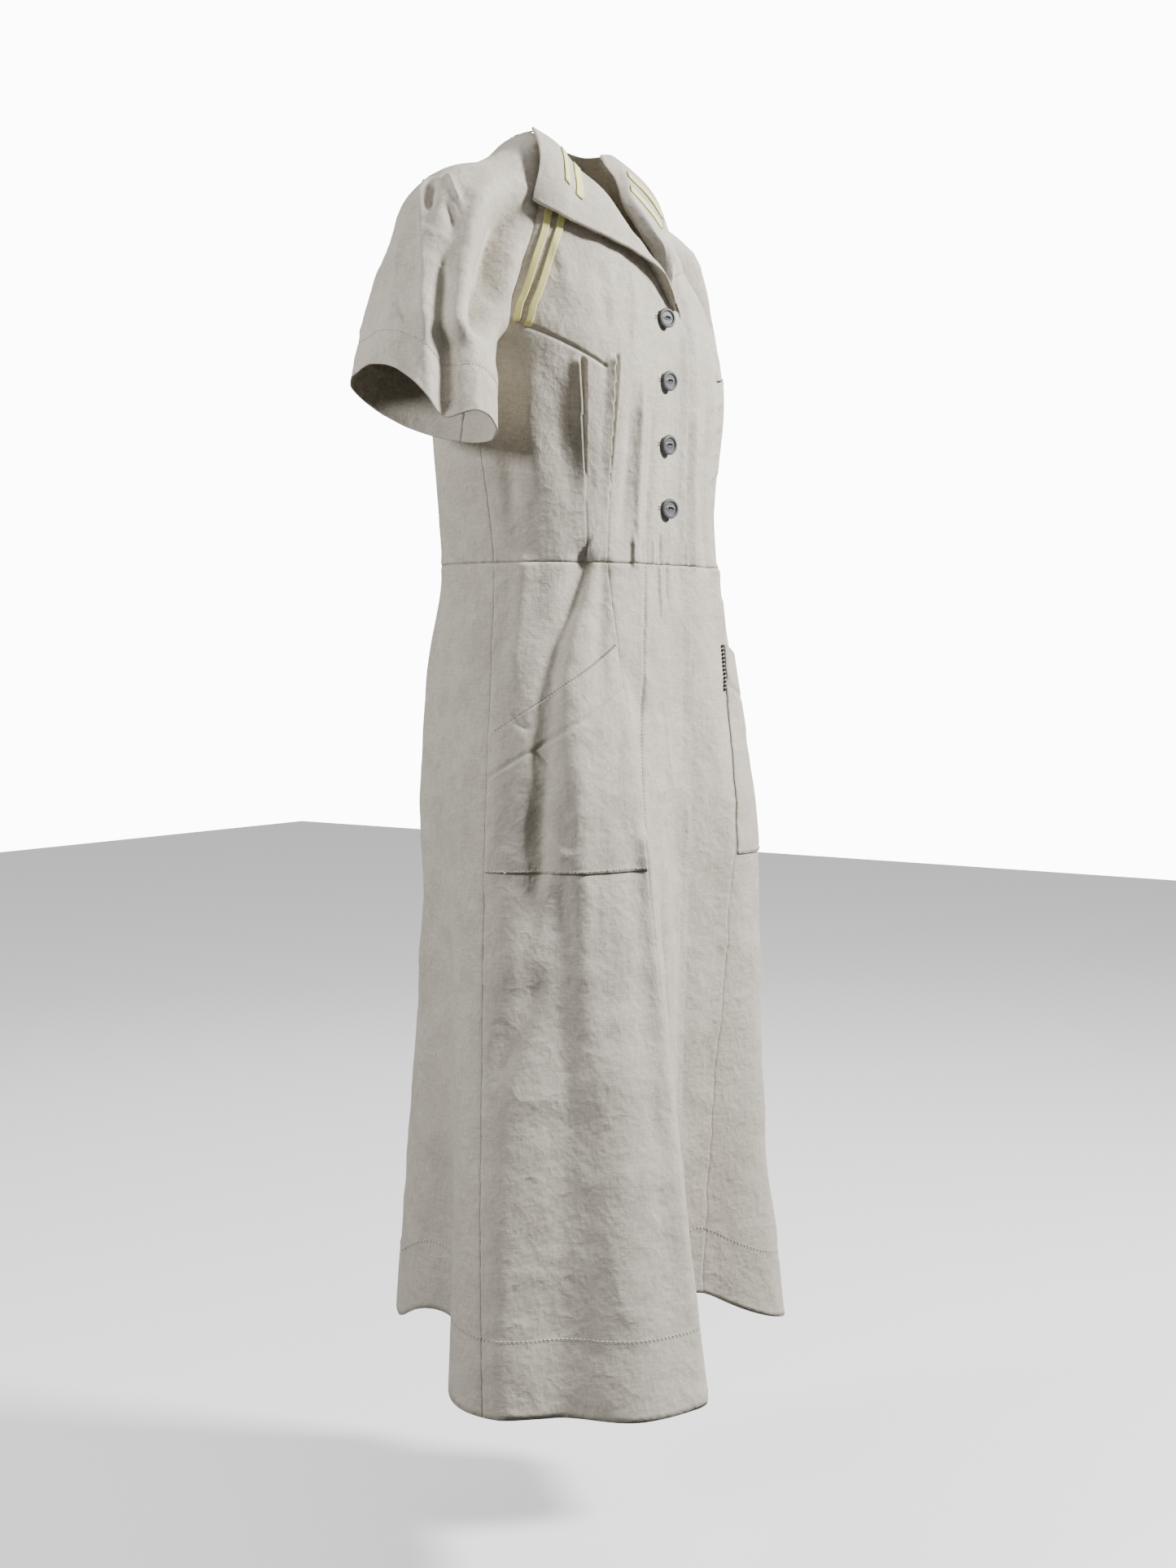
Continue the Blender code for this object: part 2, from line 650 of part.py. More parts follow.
def sleeve(side):
    """A raglan sleeve: its ends are held to the seams, and it closes below the underarm."""
    share = np.linspace(0, 1, SLEEVE_COLUMNS + 1)
    hold_front = 1 - soft_step(share, 0, SLEEVE_HOLD)
    hold_back = 1 - soft_step(1 - share, 0, SLEEVE_HOLD)
    rows = []
    for along in SLEEVE_ROWS:
        points = sleeve_row(along, side)
        front = seam_point("front", along)
        back = seam_point("back", along)
        points = points + hold_front[:, None] * (front - points[0])
        points = points + hold_back[:, None] * (back - points[-1])
        if along == 0.0:
            angle = np.linspace(RAGLAN[0].front_angle, RAGLAN[0].back_angle, SLEEVE_COLUMNS + 1)
            drop = np.linspace(RAGLAN[0].front_drop, RAGLAN[0].back_drop, SLEEVE_COLUMNS + 1)
            points = body_point(angle, drop)
        rows.append(points)
    under = np.array(sleeve_row(1.0, side)[0])
    shift = seam_point("front", 1.0) - under
    for along in SLEEVE_LOWER_ROWS:
        points = sleeve_row(along, side)
        fade = 1 - soft_step(along, 1.0, 1.6)
        near = np.maximum(hold_front, hold_back)[:, None]
        rows.append(points + fade * near * shift)
    grid = np.array(rows)
    first = grid[:, 1] - grid[:, 0]
    last = grid[:, -2] - grid[:, -1]
    grid[:, 0] += SEAM * first / np.linalg.norm(first, axis=1, keepdims=True)
    grid[:, -1] += SEAM * last / np.linalg.norm(last, axis=1, keepdims=True)
    if side < 0:
        grid = grid * np.array([-1.0, 1.0, 1.0])
        grid = grid[:, ::-1]
    return grid


def collar_point(side, along, across, out=0.0):
    """A point of the collar's upper face, which bridges from the roll line to its edge."""
    angle, drop = edge_through(ROLL, along)
    roll = body_point(side * angle, drop, ROLL_STAND + underlap(side, side * angle, drop))
    angle, drop = edge_through(COLLAR_EDGE, along)
    share = LEFT_COLLAR_SHARE if side > 0 else 1.0
    near_end = soft_step(along, 0.0, 0.9)
    stand = share * COLLAR_STAND.first * (1 - near_end) + COLLAR_STAND.last * near_end
    edge = body_point(side * angle, drop, stand + underlap(side, side * angle, drop))
    points = roll + (edge - roll) * across[:, None]
    past_side = soft_step(along, 0.0, 0.35)
    bulge = COLLAR_BULGE.first * (1 - past_side) + COLLAR_BULGE.last * past_side
    way = np.array(COLLAR_BULGE_WAY) * np.array([side, 1.0, 1.0])
    return points + np.outer(bulge * np.sin(np.pi * across) + out, way)


def tape_edges(number):
    """Where the two edges of a collar tape lie along the collar."""
    half = 0.5 * COLLAR_TAPE_WIDTH / COLLAR_LENGTH
    return COLLAR_TAPES[number] - half, COLLAR_TAPES[number] + half


def collar_columns(side):
    """Places along the collar, with the edges of its tapes among them."""
    end = 1.0 if side < 0 else LEFT_COLLAR_END
    places = np.concatenate([[0.0, 0.07], tape_edges(0), tape_edges(1)])
    return np.concatenate([places, np.linspace(0.36, end, COLLAR_STEPS)])


def collar(side):
    """Half of the collar, folded over its roll line and open at its free side."""
    along = collar_columns(side)
    strips = []
    for lip_drop in ROLL_LIP:
        angle, drop = edge_through(ROLL, along)
        inset = ROLL_INSET + SIDE_INSET * (1 - soft_step(along, 0.0, 0.3))
        inside = body_point(side * angle, drop, underlap(side, side * angle, drop) - inset)
        inside[:, 2] -= lip_drop * soft_step(along, -0.25, 0.25) * (1 - 0.5 * soft_step(along, 0.7, 1.0))
        strips.append(inside)
    for across in COLLAR_ACROSS:
        strips.append(collar_point(side, along, np.full_like(along, across)))
    grid = np.array(strips)
    return grid if side < 0 else grid[:, ::-1]


def neck_stand():
    """The narrow stand round the back of the neck."""
    angle = np.linspace(STAND_ANGLE, 360 - STAND_ANGLE, 17)
    base = body_point(angle, np.full_like(angle, STAND_BASE))
    middle = body_point(angle, np.full_like(angle, STAND_BASE), -0.4 * STAND_LEAN)
    top = body_point(angle, np.full_like(angle, STAND_BASE), -STAND_LEAN)
    rise = soft_step(np.sin(np.pi * np.linspace(0, 1, len(angle))), 0.3, 1.0)
    level = STAND_SIDE_TOP + (STAND_BACK_TOP - STAND_SIDE_TOP) * rise
    middle[:, 2] = -0.5 * (level + STAND_BASE)
    top[:, 2] = -level
    return np.array([top, middle, base])


def body_tape(side, number):
    """A tape on the front, beside the raglan seam and of an even width."""
    along = np.linspace(0, 1, 12)
    drop = BODY_TAPE_TOP + (BODY_TAPE_END[number] - BODY_TAPE_TOP) * along
    drops, angles = columns(RAGLAN, "front_drop", "front_angle")
    seam = through(drop, drops, angles)
    lines = []
    for edge in (0.5, -0.5):
        distance = BODY_TAPES[number] + edge * TAPE_WIDTH
        angle = seam - np.degrees(distance / body_radius(seam, drop))
        lines.append(body_point(side * angle, drop, TAPE + SEAM))
    grid = np.array(lines).transpose(1, 0, 2)
    return grid if side < 0 else grid[:, ::-1]


def collar_tape(side, number):
    """A tape across the collar, from its roll line toward its outer edge."""
    across = np.array(COLLAR_ACROSS[:4])
    lines = []
    for along in tape_edges(number):
        lines.append(collar_point(side, np.full_like(across, along), across, TAPE + TAPE_GAP))
    grid = np.array(lines).transpose(1, 0, 2)
    return grid if side < 0 else grid[:, ::-1]


def button(name, drop, x):
    """A turned button with a raised rim, lying on the overlap."""
    rim = BUTTON_RADIUS
    top = BUTTON_HEIGHT
    profile = ((0, 0.7), (0.66, 0.7), (0.82, 1.0), (0.96, 0.92), (1.0, 0.6), (0.97, 0.12), (0.88, 0), (0, 0))
    points = [(rim * r, 0.0, top * z) for r, z in profile]
    mesh = bpy.data.meshes.new(name)
    mesh.from_pydata(points, [(i, i + 1) for i in range(len(points) - 1)], [])
    mesh.materials.append(material(name, GREY, 0.35))
    piece = bpy.data.objects.new(name, mesh)
    link(piece, name)
    turned = piece.modifiers.new("turned", "SCREW")
    turned.steps = 18
    turned.render_steps = 18
    turned.use_merge_vertices = True
    turned.merge_threshold = 0.00001
    angle = angle_at_x(x, np.array(drop))
    seat = body_point(angle, np.array(drop), BUTTON_SEAT)
    higher = body_point(angle, np.array(drop - 0.02))
    lower = body_point(angle, np.array(drop + 0.02))
    lean = np.arctan2(higher[1] - lower[1], higher[2] - lower[2])
    piece.location = seat
    piece.rotation_euler = (np.pi / 2 - lean, 0.0, np.radians(angle))
    return piece


def build():
    """Make every piece of the dress."""
    for item in list(bpy.data.objects):
        bpy.data.objects.remove(item, do_unlink=True)
    dress = bpy.data.collections.new(COLLECTION)
    bpy.context.scene.collection.children.link(dress)
    cloth("bodice_back", bodice_back())
    cloth("skirt_back", back_skirt())
    cloth("neck_stand", neck_stand(), GREIGE_SHADE)
    for side, word in ((-1, "right"), (1, "left")):
        cloth(f"bodice_front_{word}", bodice_front(side))
        cloth(f"sleeve_{word}", sleeve(side))
        cloth(f"skirt_front_{word}", centre_skirt(side))
        cloth(f"skirt_side_front_{word}", side_skirt(side))
        cloth(f"pocket_{word}", pocket(side))
        cloth(f"collar_{word}", collar(side), GREIGE_SHADE, CLOTH)
        for number, place in enumerate(("outer", "inner")):
            cloth(f"body_stripe_{place}_{word}", body_tape(side, number), YELLOW, TAPE)
            cloth(f"collar_stripe_{place}_{word}", collar_tape(side, number), YELLOW, TAPE)
    for number, place in enumerate(BUTTONS, 1):
        button(f"button_{number}", place.drop, place.x)


build()
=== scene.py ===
"""The looks of a short-sleeved, button-front uniform smock dress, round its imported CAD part.

The origin is midway between the two side-neck points. The front faces -Y, the wearer's left
is +X and +Z is up, in metres. A drop is how far a level lies below the origin. An angle goes
round the body's axis, in degrees: 0 is the centre front, -90 the wearer's right side.
"""

from __future__ import annotations

import logging
from collections.abc import Sequence
from dataclasses import dataclass, field
from enum import Enum, IntEnum
from typing import NamedTuple

import bpy
import numpy as np
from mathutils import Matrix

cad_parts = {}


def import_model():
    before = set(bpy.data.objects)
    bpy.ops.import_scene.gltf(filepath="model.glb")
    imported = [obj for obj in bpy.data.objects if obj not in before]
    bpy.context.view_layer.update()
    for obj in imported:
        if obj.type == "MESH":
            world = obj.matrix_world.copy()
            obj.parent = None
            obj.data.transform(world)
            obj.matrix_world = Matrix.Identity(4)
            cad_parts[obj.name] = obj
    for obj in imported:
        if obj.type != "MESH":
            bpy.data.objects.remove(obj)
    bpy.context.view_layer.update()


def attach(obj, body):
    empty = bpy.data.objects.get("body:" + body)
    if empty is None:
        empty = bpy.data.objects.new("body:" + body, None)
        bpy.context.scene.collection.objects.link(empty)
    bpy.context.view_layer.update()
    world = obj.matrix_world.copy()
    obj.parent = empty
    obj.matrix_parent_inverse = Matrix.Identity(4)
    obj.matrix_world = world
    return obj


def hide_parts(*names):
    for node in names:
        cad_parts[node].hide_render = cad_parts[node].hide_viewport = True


LOG = logging.getLogger("smock_dress")

Array = np.ndarray
Place = tuple[float, float]
Point = tuple[float, float, float]
Colour = tuple[float, float, float]

# Levels, as drops from the side-neck points
WAIST = 0.435
HEM = 1.197
UNDERARM = 0.238
POCKET_BOTTOM = 0.723
V_BOTTOM = 0.184
AXIS_Y = 0.018
RELIEF_RADIUS = 0.17
BODY_SCALE = 0.002967  # metres of relief in a degree round the body
SLEEVE_SCALE = 0.0012
CREASE_GAIN = 1.7

# Cloth, seams and tape
CLOTH = 0.0012
COLLAR_CLOTH = 0.0022
TAPE = 0.0008
SEAM = -0.00015
RAGLAN_TURNED = 0.0010
OVERLAP_X = 0.024
UNDERLAP_X = -0.024
UNDERLAP_STEP = 0.0028
UNDERLAP_NECK_STEP = 0.0046
HEM_DEPTH = 0.066
TAPE_WIDTH = 0.007
TAPE_MIDDLES = (0.0115, 0.0245)  # from the raglan seam
TAPE_TOP = 0.088
TAPE_ENDS = (0.211, 0.216)
COLLAR_TAPE_WIDTH = 0.0088
SLEEVE_HEM = 1.54
STAGE_Z = -1.42
SOFT_ROLL = 0.0006  # how far the edges of sleeves and pockets turn in
UNROLLED = (False, False, False, False)

# The photograph's size, its focal length and the place of the camera's axis in it, in pixels
FRAME = (1445, 1926)
FOCAL = 2440.0
CENTRE = (718.0, 795.0)
SENSOR = 36.0


class Side(IntEnum):
    """The wearer's right or left half of the dress."""

    RIGHT = -1
    LEFT = 1

    @property
    def word(self) -> str:
        """The side's name in node and piece names."""
        return self.name.lower()


class Hold(Enum):
    """How a sheet of cloth is held."""

    HUNG = "hung"
    FOLDED = "folded"
    LAID = "laid"
    STRETCHED = "stretched"


class Cut(NamedTuple):
    """The flat cut of a piece of cloth and how it is held; {side} stands for the piece's own."""

    width: float
    length: float
    area: float
    held: Hold
    rests_on: tuple[str, ...]


class Section(NamedTuple):
    """One level of the body: half its width, its depths and the power of its section."""

    drop: float
    half_width: float
    front: float
    back: float
    square: float


class Fullness(NamedTuple):
    """Where the cloth stands fuller: its middle, its spread and how far it stands out."""

    angle: float
    drop: float
    angle_spread: float
    drop_spread: float
    out: float


class Tuck(NamedTuple):
    """A release tuck: its fold at the waist and where it opens, and its height there."""

    waist_angle: float
    top_angle: float
    open_drop: float
    closed_drop: float
    height: float


class Fold(NamedTuple):
    """A fold of the skirt: its radius at the hem and the drop at which it begins."""

    angle: float
    radius: float
    start: float


class Lift(NamedTuple):
    """A place where the hem is lifted between its folds."""

    angle: float
    height: float
    spread: float


class SeamLine(NamedTuple):
    """The angles of the princess and side seams at a drop."""

    drop: float
    princess: float
    side: float


class Level(NamedTuple):
    """A row of the skirt, as its drops at the princess and side seams."""

    princess: float
    side: float


class Edge(NamedTuple):
    """A place of an edge."""

    angle: float
    drop: float


class Raglan(NamedTuple):
    """The raglan seams, from the neck (0) to the underarm (1)."""

    along: float
    front_angle: float
    front_drop: float
    back_angle: float
    back_drop: float


class SleeveRow(NamedTuple):
    """A section of the wearer's left sleeve: its top line, middle, reach and wrap."""

    along: float
    top_x: float
    top_y: float
    top_z: float
    mid_x: float
    mid_y: float
    mid_z: float
    front: float
    back: float
    wrap: float


class SleeveFold(NamedTuple):
    """A fold of the sleeve: where round it, how deep, how wide and where along it."""

    angle: float
    depth: float
    spread: float
    start: float
    end: float


class Light(NamedTuple):
    """A soft square light: its place, the length of its side and its power in watts."""

    name: str
    place: Point
    size: float
    power: float


BODY = (
    Section(0.008, 0.073, 0.030, 0.051, 2.1),
    Section(0.025, 0.082, 0.045, 0.062, 2.2),
    Section(0.048, 0.098, 0.058, 0.074, 2.2),
    Section(0.072, 0.117, 0.079, 0.085, 2.2),
    Section(0.106, 0.136, 0.099, 0.097, 2.2),
    Section(0.150, 0.155, 0.113, 0.106, 2.25),
    Section(0.204, 0.168, 0.119, 0.110, 2.3),
    Section(0.260, 0.166, 0.119, 0.109, 2.35),
    Section(0.330, 0.160, 0.118, 0.106, 2.35),
    Section(0.390, 0.153, 0.118, 0.103, 2.35),
    Section(0.435, 0.150, 0.119, 0.101, 2.35),
    Section(0.520, 0.160, 0.126, 0.105, 2.3),
    Section(0.620, 0.174, 0.131, 0.112, 2.2),
    Section(0.723, 0.187, 0.134, 0.121, 2.1),
    Section(0.950, 0.210, 0.145, 0.138, 2.0),
    Section(1.200, 0.235, 0.160, 0.152, 2.0),
)
FULLNESS = (
    Fullness(-40.0, 0.262, 24.0, 0.075, 0.008),
    Fullness(40.0, 0.262, 24.0, 0.085, 0.015),
    Fullness(44.0, 0.430, 28.0, 0.090, 0.008),
    Fullness(47.0, 0.720, 26.0, 0.220, 0.030),
    Fullness(-47.0, 0.640, 24.0, 0.130, 0.010),
    Fullness(40.0, 0.085, 32.0, 0.065, -0.022),
    Fullness(84.0, 0.010, 34.0, 0.050, -0.006),
)
TUCKS = (
    Tuck(47.5, 51.0, 0.245, 0.380, 0.0055),
    Tuck(39.5, 37.0, 0.240, 0.385, 0.0060),
)
TUCK_WIDTH = 4.2
TUCK_RECESS = 2.3
TUCK_DEPTH = 0.0062
FOLDS = (
    Fold(-152.0, 0.178, 0.50),
    Fold(-122.0, 0.166, 0.55),
    Fold(-98.0, 0.150, 0.56),
    Fold(-79.0, 0.249, 0.52),
    Fold(-70.0, 0.266, 0.50),
    Fold(-56.0, 0.252, 0.48),
    Fold(-40.0, 0.271, 0.50),
    Fold(-23.0, 0.236, 0.58),
    Fold(-11.0, 0.158, 0.52),
    Fold(2.0, 0.118, 0.48),
    Fold(24.0, 0.138, 0.50),
    Fold(36.0, 0.212, 0.52),
    Fold(52.0, 0.216, 0.50),
    Fold(74.0, 0.228, 0.50),
    Fold(98.0, 0.178, 0.55),
    Fold(123.0, 0.206, 0.52),
    Fold(150.0, 0.172, 0.56),
    Fold(176.0, 0.186, 0.55),
)
FOLD_EASE = 1.2
LIFTS = (
    Lift(22.0, 0.038, 9.0),
    Lift(-112.0, 0.040, 20.0),
    Lift(-150.0, 0.010, 20.0),
    Lift(102.0, 0.020, 16.0),
)
SEAMS = (
    SeamLine(UNDERARM, 39.0, 90.0),
    SeamLine(WAIST, 39.0, 83.0),
    SeamLine(0.511, 36.0, 82.0),
    SeamLine(0.723, 30.0, 79.0),
    SeamLine(0.950, 26.0, 76.0),
    SeamLine(HEM, 23.0, 71.5),
)
LEVELS = (
    Level(WAIST, WAIST),
    Level(0.458, 0.486),
    Level(0.485, 0.542),
    Level(0.511, 0.600),
    Level(0.551, 0.638),
    Level(0.606, 0.666),
    Level(0.664, 0.694),
    Level(POCKET_BOTTOM, POCKET_BOTTOM),
)
MOUTH_LEVEL = 3.0
WELT_LEVEL = 4.0
BOTTOM_LEVEL = 7.0
HEM_LEVEL = 13.0
ROLL = (
    Edge(84.0, 0.005),
    Edge(64.0, 0.023),
    Edge(50.0, 0.047),
    Edge(34.0, 0.071),
    Edge(24.0, 0.104),
    Edge(15.0, 0.134),
    Edge(5.0, 0.160),
    Edge(-4.5, 0.184),
)
COLLAR_EDGE = (
    Edge(69.5, 0.092),
    Edge(60.0, 0.104),
    Edge(51.0, 0.114),
    Edge(36.0, 0.127),
    Edge(21.0, 0.140),
    Edge(9.0, 0.154),
    Edge(1.0, 0.172),
    Edge(-5.5, 0.194),
)
NECK_LIP = 0.0058
STAND_ANGLE = 87.0
STAND_BASE = 0.0114
STAND_LEAN = 0.009
RAGLAN = (
    Raglan(0.00, 79.0, 0.011, 126.0, 0.0105),
    Raglan(0.12, 72.0, 0.030, 123.0, 0.030),
    Raglan(0.25, 70.0, 0.055, 120.0, 0.055),
    Raglan(0.40, 68.8, 0.085, 117.0, 0.083),
    Raglan(0.55, 68.8, 0.115, 114.5, 0.112),
    Raglan(0.70, 71.0, 0.150, 112.0, 0.145),
    Raglan(0.85, 74.5, 0.192, 107.0, 0.185),
    Raglan(0.94, 80.0, 0.224, 99.0, 0.220),
    Raglan(1.00, 90.0, UNDERARM, 90.0, UNDERARM),
)
SLEEVE = (
    SleeveRow(0.00, 0.076, 0.018, -0.009, 0.064, 0.024, -0.012, 0.028, 0.030, 0.0),
    SleeveRow(0.15, 0.097, 0.021, -0.029, 0.084, 0.025, -0.039, 0.031, 0.038, 0.0),
    SleeveRow(0.30, 0.128, 0.025, -0.046, 0.104, 0.026, -0.066, 0.041, 0.048, 0.0),
    SleeveRow(0.50, 0.178, 0.033, -0.064, 0.132, 0.028, -0.105, 0.050, 0.061, 6.0),
    SleeveRow(0.65, 0.210, 0.034, -0.090, 0.155, 0.028, -0.140, 0.054, 0.067, 18.0),
    SleeveRow(0.82, 0.235, 0.032, -0.134, 0.183, 0.027, -0.176, 0.060, 0.069, 48.0),
    SleeveRow(1.00, 0.254, 0.028, -0.184, 0.208, 0.023, -0.212, 0.063, 0.072, 90.0),
    SleeveRow(1.50, 0.269, 0.022, -0.226, 0.225, 0.015, -0.254, 0.066, 0.076, 90.0),
    SleeveRow(2.00, 0.282, 0.017, -0.261, 0.239, 0.009, -0.293, 0.071, 0.081, 90.0),
)
LOWER_SLEEVE = np.linspace(1, 2, 50)[1:]
SLEEVE_FOLDS = (
    SleeveFold(10.0, -0.0250, 15.0, 0.40, 1.25),
    SleeveFold(38.0, 0.0140, 13.0, 0.40, 1.40),
    SleeveFold(62.0, 0.0050, 10.0, 0.50, 3.00),
    SleeveFold(46.0, -0.0075, 10.0, 0.60, 3.00),
    SleeveFold(130.0, -0.0050, 16.0, 0.60, 3.00),
)
POCKET_STAND = 0.0062
POCKET_SEAT = 0.0014
MIDDLE = (0.0, 0.0, -0.55)
LIGHTS = (
    Light("key", (0.95, -2.2, 1.05), 0.45, 225.0),
    Light("side", (-2.2, 1.2, 0.3), 0.7, 60.0),
    Light("front", (-1.4, -2.2, 0.9), 1.4, 7.0),
    Light("top", (0.0, 0.0, 2.4), 2.0, 20.0),
    Light("rim", (1.6, 1.8, 0.6), 1.4, 18.0),
)
OPENING_DROPS = np.linspace(WAIST + 0.002, HEM - 0.045, 220)
ALL_ROUND = np.linspace(-180, 180, 500)
BUTTON_TURN = 0.30
BUTTON_STAND = 0.0030
BUTTON_RADIUS = 0.0099
BUTTON_HEIGHT = 0.0036
BUTTON_SLOT = (0.30, 0.12)
BUTTON_WALL = (0.52, 0.30, 0.10, 0.0, 0.0)  # the levels of its rings below the rim
BUTTON_PLACES = ((0.195, -0.010), (0.256, -0.007), (0.318, -0.006), (0.380, -0.004))


def through(at: Array | float, stops: Array, values: Array) -> Array:
    """Read a smooth curve through the values at the stops.

    Args:
        at: Where to read it.
        stops: Rising places of the known values.
        values: One value, or one row of values, for each stop.

    Returns:
        The values there.
    """
    slope = np.gradient(values, stops, axis=0)
    at = np.clip(np.asarray(at, float), stops[0], stops[-1])
    i = np.clip(np.searchsorted(stops, at, side="right") - 1, 0, len(stops) - 2)
    step = stops[i + 1] - stops[i]
    t = (at - stops[i]) / step
    if values.ndim > 1:
        step = step[..., None]
        t = t[..., None]
    start = (1 + 2 * t) * (1 - t) ** 2 * values[i] + t * (1 - t) ** 2 * step * slope[i]
    end = t * t * (3 - 2 * t) * values[i + 1] - t * t * (1 - t) * step * slope[i + 1]
    return start + end


def column(rows: Sequence[tuple], name: str) -> Array:
    """A named column of a table, as an array."""
    return np.array([getattr(row, name) for row in rows], float)


def soft_step(at: Array | float, low: float, high: float) -> Array:
    """0 below low, 1 above high, and a soft rise between them."""
    t = np.clip((np.asarray(at, float) - low) / (high - low), 0, 1)
    return t * t * (3 - 2 * t)


def bell(at: Array, middle: float, spread: float) -> Array:
    """1 at the middle, falling softly to nothing about two spreads away."""
    return np.exp(-(((at - middle) / spread) ** 2))


def turn(angle: Array) -> Array:
    """An angle brought to between -180 and 180 degrees."""
    return (np.asarray(angle, float) + 180.0) % 360.0 - 180.0


def unit(vectors: Array) -> Array:
    """The vectors at a length of one."""
    return vectors / np.maximum(np.linalg.norm(vectors, axis=-1, keepdims=True), 1e-12)


def shares(count: int, edge: float = 0.012) -> Array:
    """Even shares from 0 to 1, with three closer ones at each end for the seam's roll."""
    ends = np.array([0.0, 0.3, 0.65]) * edge
    inner = np.linspace(edge, 1 - edge, count)
    return np.concatenate([ends, inner, 1 - ends[::-1]])


@dataclass
class Noise:
    """Soft random relief over a plane of two metric coordinates."""

    seed: int
    lattice: Array = field(init=False)

    def __post_init__(self) -> None:
        """Fill the lattice from the seed."""
        self.lattice = np.random.default_rng(self.seed).uniform(-1, 1, (64, 64))

    def at(self, u: Array, v: Array, size: float) -> Array:
        """Read the noise.

        Args:
            u: First coordinate, in metres.
            v: Second coordinate, in metres.
            size: The size of one cell, in metres.

        Returns:
            Values from -1 to 1.
        """
        u, v = u / size, v / size
        iu, iv = np.floor(u).astype(int), np.floor(v).astype(int)
        fu, fv = u - iu, v - iv
        fu, fv = fu * fu * (3 - 2 * fu), fv * fv * (3 - 2 * fv)
        total = np.zeros_like(fu)
        for du, wu in ((0, 1 - fu), (1, fu)):
            for dv, wv in ((0, 1 - fv), (1, fv)):
                total += self.lattice[(iu + du) % 64, (iv + dv) % 64] * wu * wv
        return total

    def creased(self, u: Array, v: Array, size: float) -> Array:
        """Ridged noise in two sizes, as of lightly crumpled cloth."""
        large = 1 - np.abs(self.at(u, v, size)) * 2
        small = 1 - np.abs(self.at(u + 7.3, v + 3.1, size * 0.43)) * 2
        return 0.65 * large + 0.35 * small


@dataclass(frozen=True)
class Crease:
    """A fold or wrinkle along a line of places, each an angle and a drop.

    The height is negative for a valley. The widths are on the line's left and right, seen
    from outside with the line running down. open_start and open_end keep its full height
    to that end.
    """

    line: tuple[Place, ...]
    height: float
    left: float
    right: float
    open_start: bool = False
    open_end: bool = False
    sharp: bool = False

    def lift(self, u: Array, v: Array, scale: float = BODY_SCALE) -> Array:
        """How far the crease moves the cloth at the places.

        Args:
            u: How far round the places lie, in metres.
            v: How far down they lie, in metres.
            scale: Metres in a degree of the line.

        Returns:
            Distances outward, in metres.
        """
        knots = np.array(self.line, float) * np.array([scale, 1.0])
        run = np.concatenate([[0], np.cumsum(np.linalg.norm(np.diff(knots, axis=0), axis=1))])
        reach = 3.0 * max(self.left, self.right)
        low, high = knots.min(0) - reach, knots.max(0) + reach
        out = np.zeros_like(u)
        near = (u > low[0]) & (u < high[0]) & (v > low[1]) & (v < high[1])
        if not near.any():
            return out
        pu, pv = u[near], v[near]
        best = np.full(pu.shape, np.inf)
        signed = np.zeros_like(pu)
        place = np.zeros_like(pu)
        for i, (a, b) in enumerate(zip(knots[:-1], knots[1:])):
            d = b - a
            length = float(np.hypot(*d))
            t = np.clip(((pu - a[0]) * d[0] + (pv - a[1]) * d[1]) / length**2, 0, 1)
            du, dv = pu - a[0] - t * d[0], pv - a[1] - t * d[1]
            gap = np.hypot(du, dv)
            side = np.sign(du * d[1] - dv * d[0])
            closer = gap < best
            best = np.where(closer, gap, best)
            signed = np.where(closer, side * gap, signed)
            place = np.where(closer, run[i] + t * length, place)
        width = np.where(signed < 0, self.left, self.right)
        share = place / run[-1]
        fade = np.ones_like(share)
        if not self.open_start:
            fade *= soft_step(share, 0.0, 0.3)
        if not self.open_end:
            fade *= 1 - soft_step(share, 0.65, 1.0)
        reached = np.abs(signed) / width
        shape = np.exp(-1.4 * reached) if self.sharp else np.exp(-(reached**2))
        out[near] = self.height * fade * shape
        return out


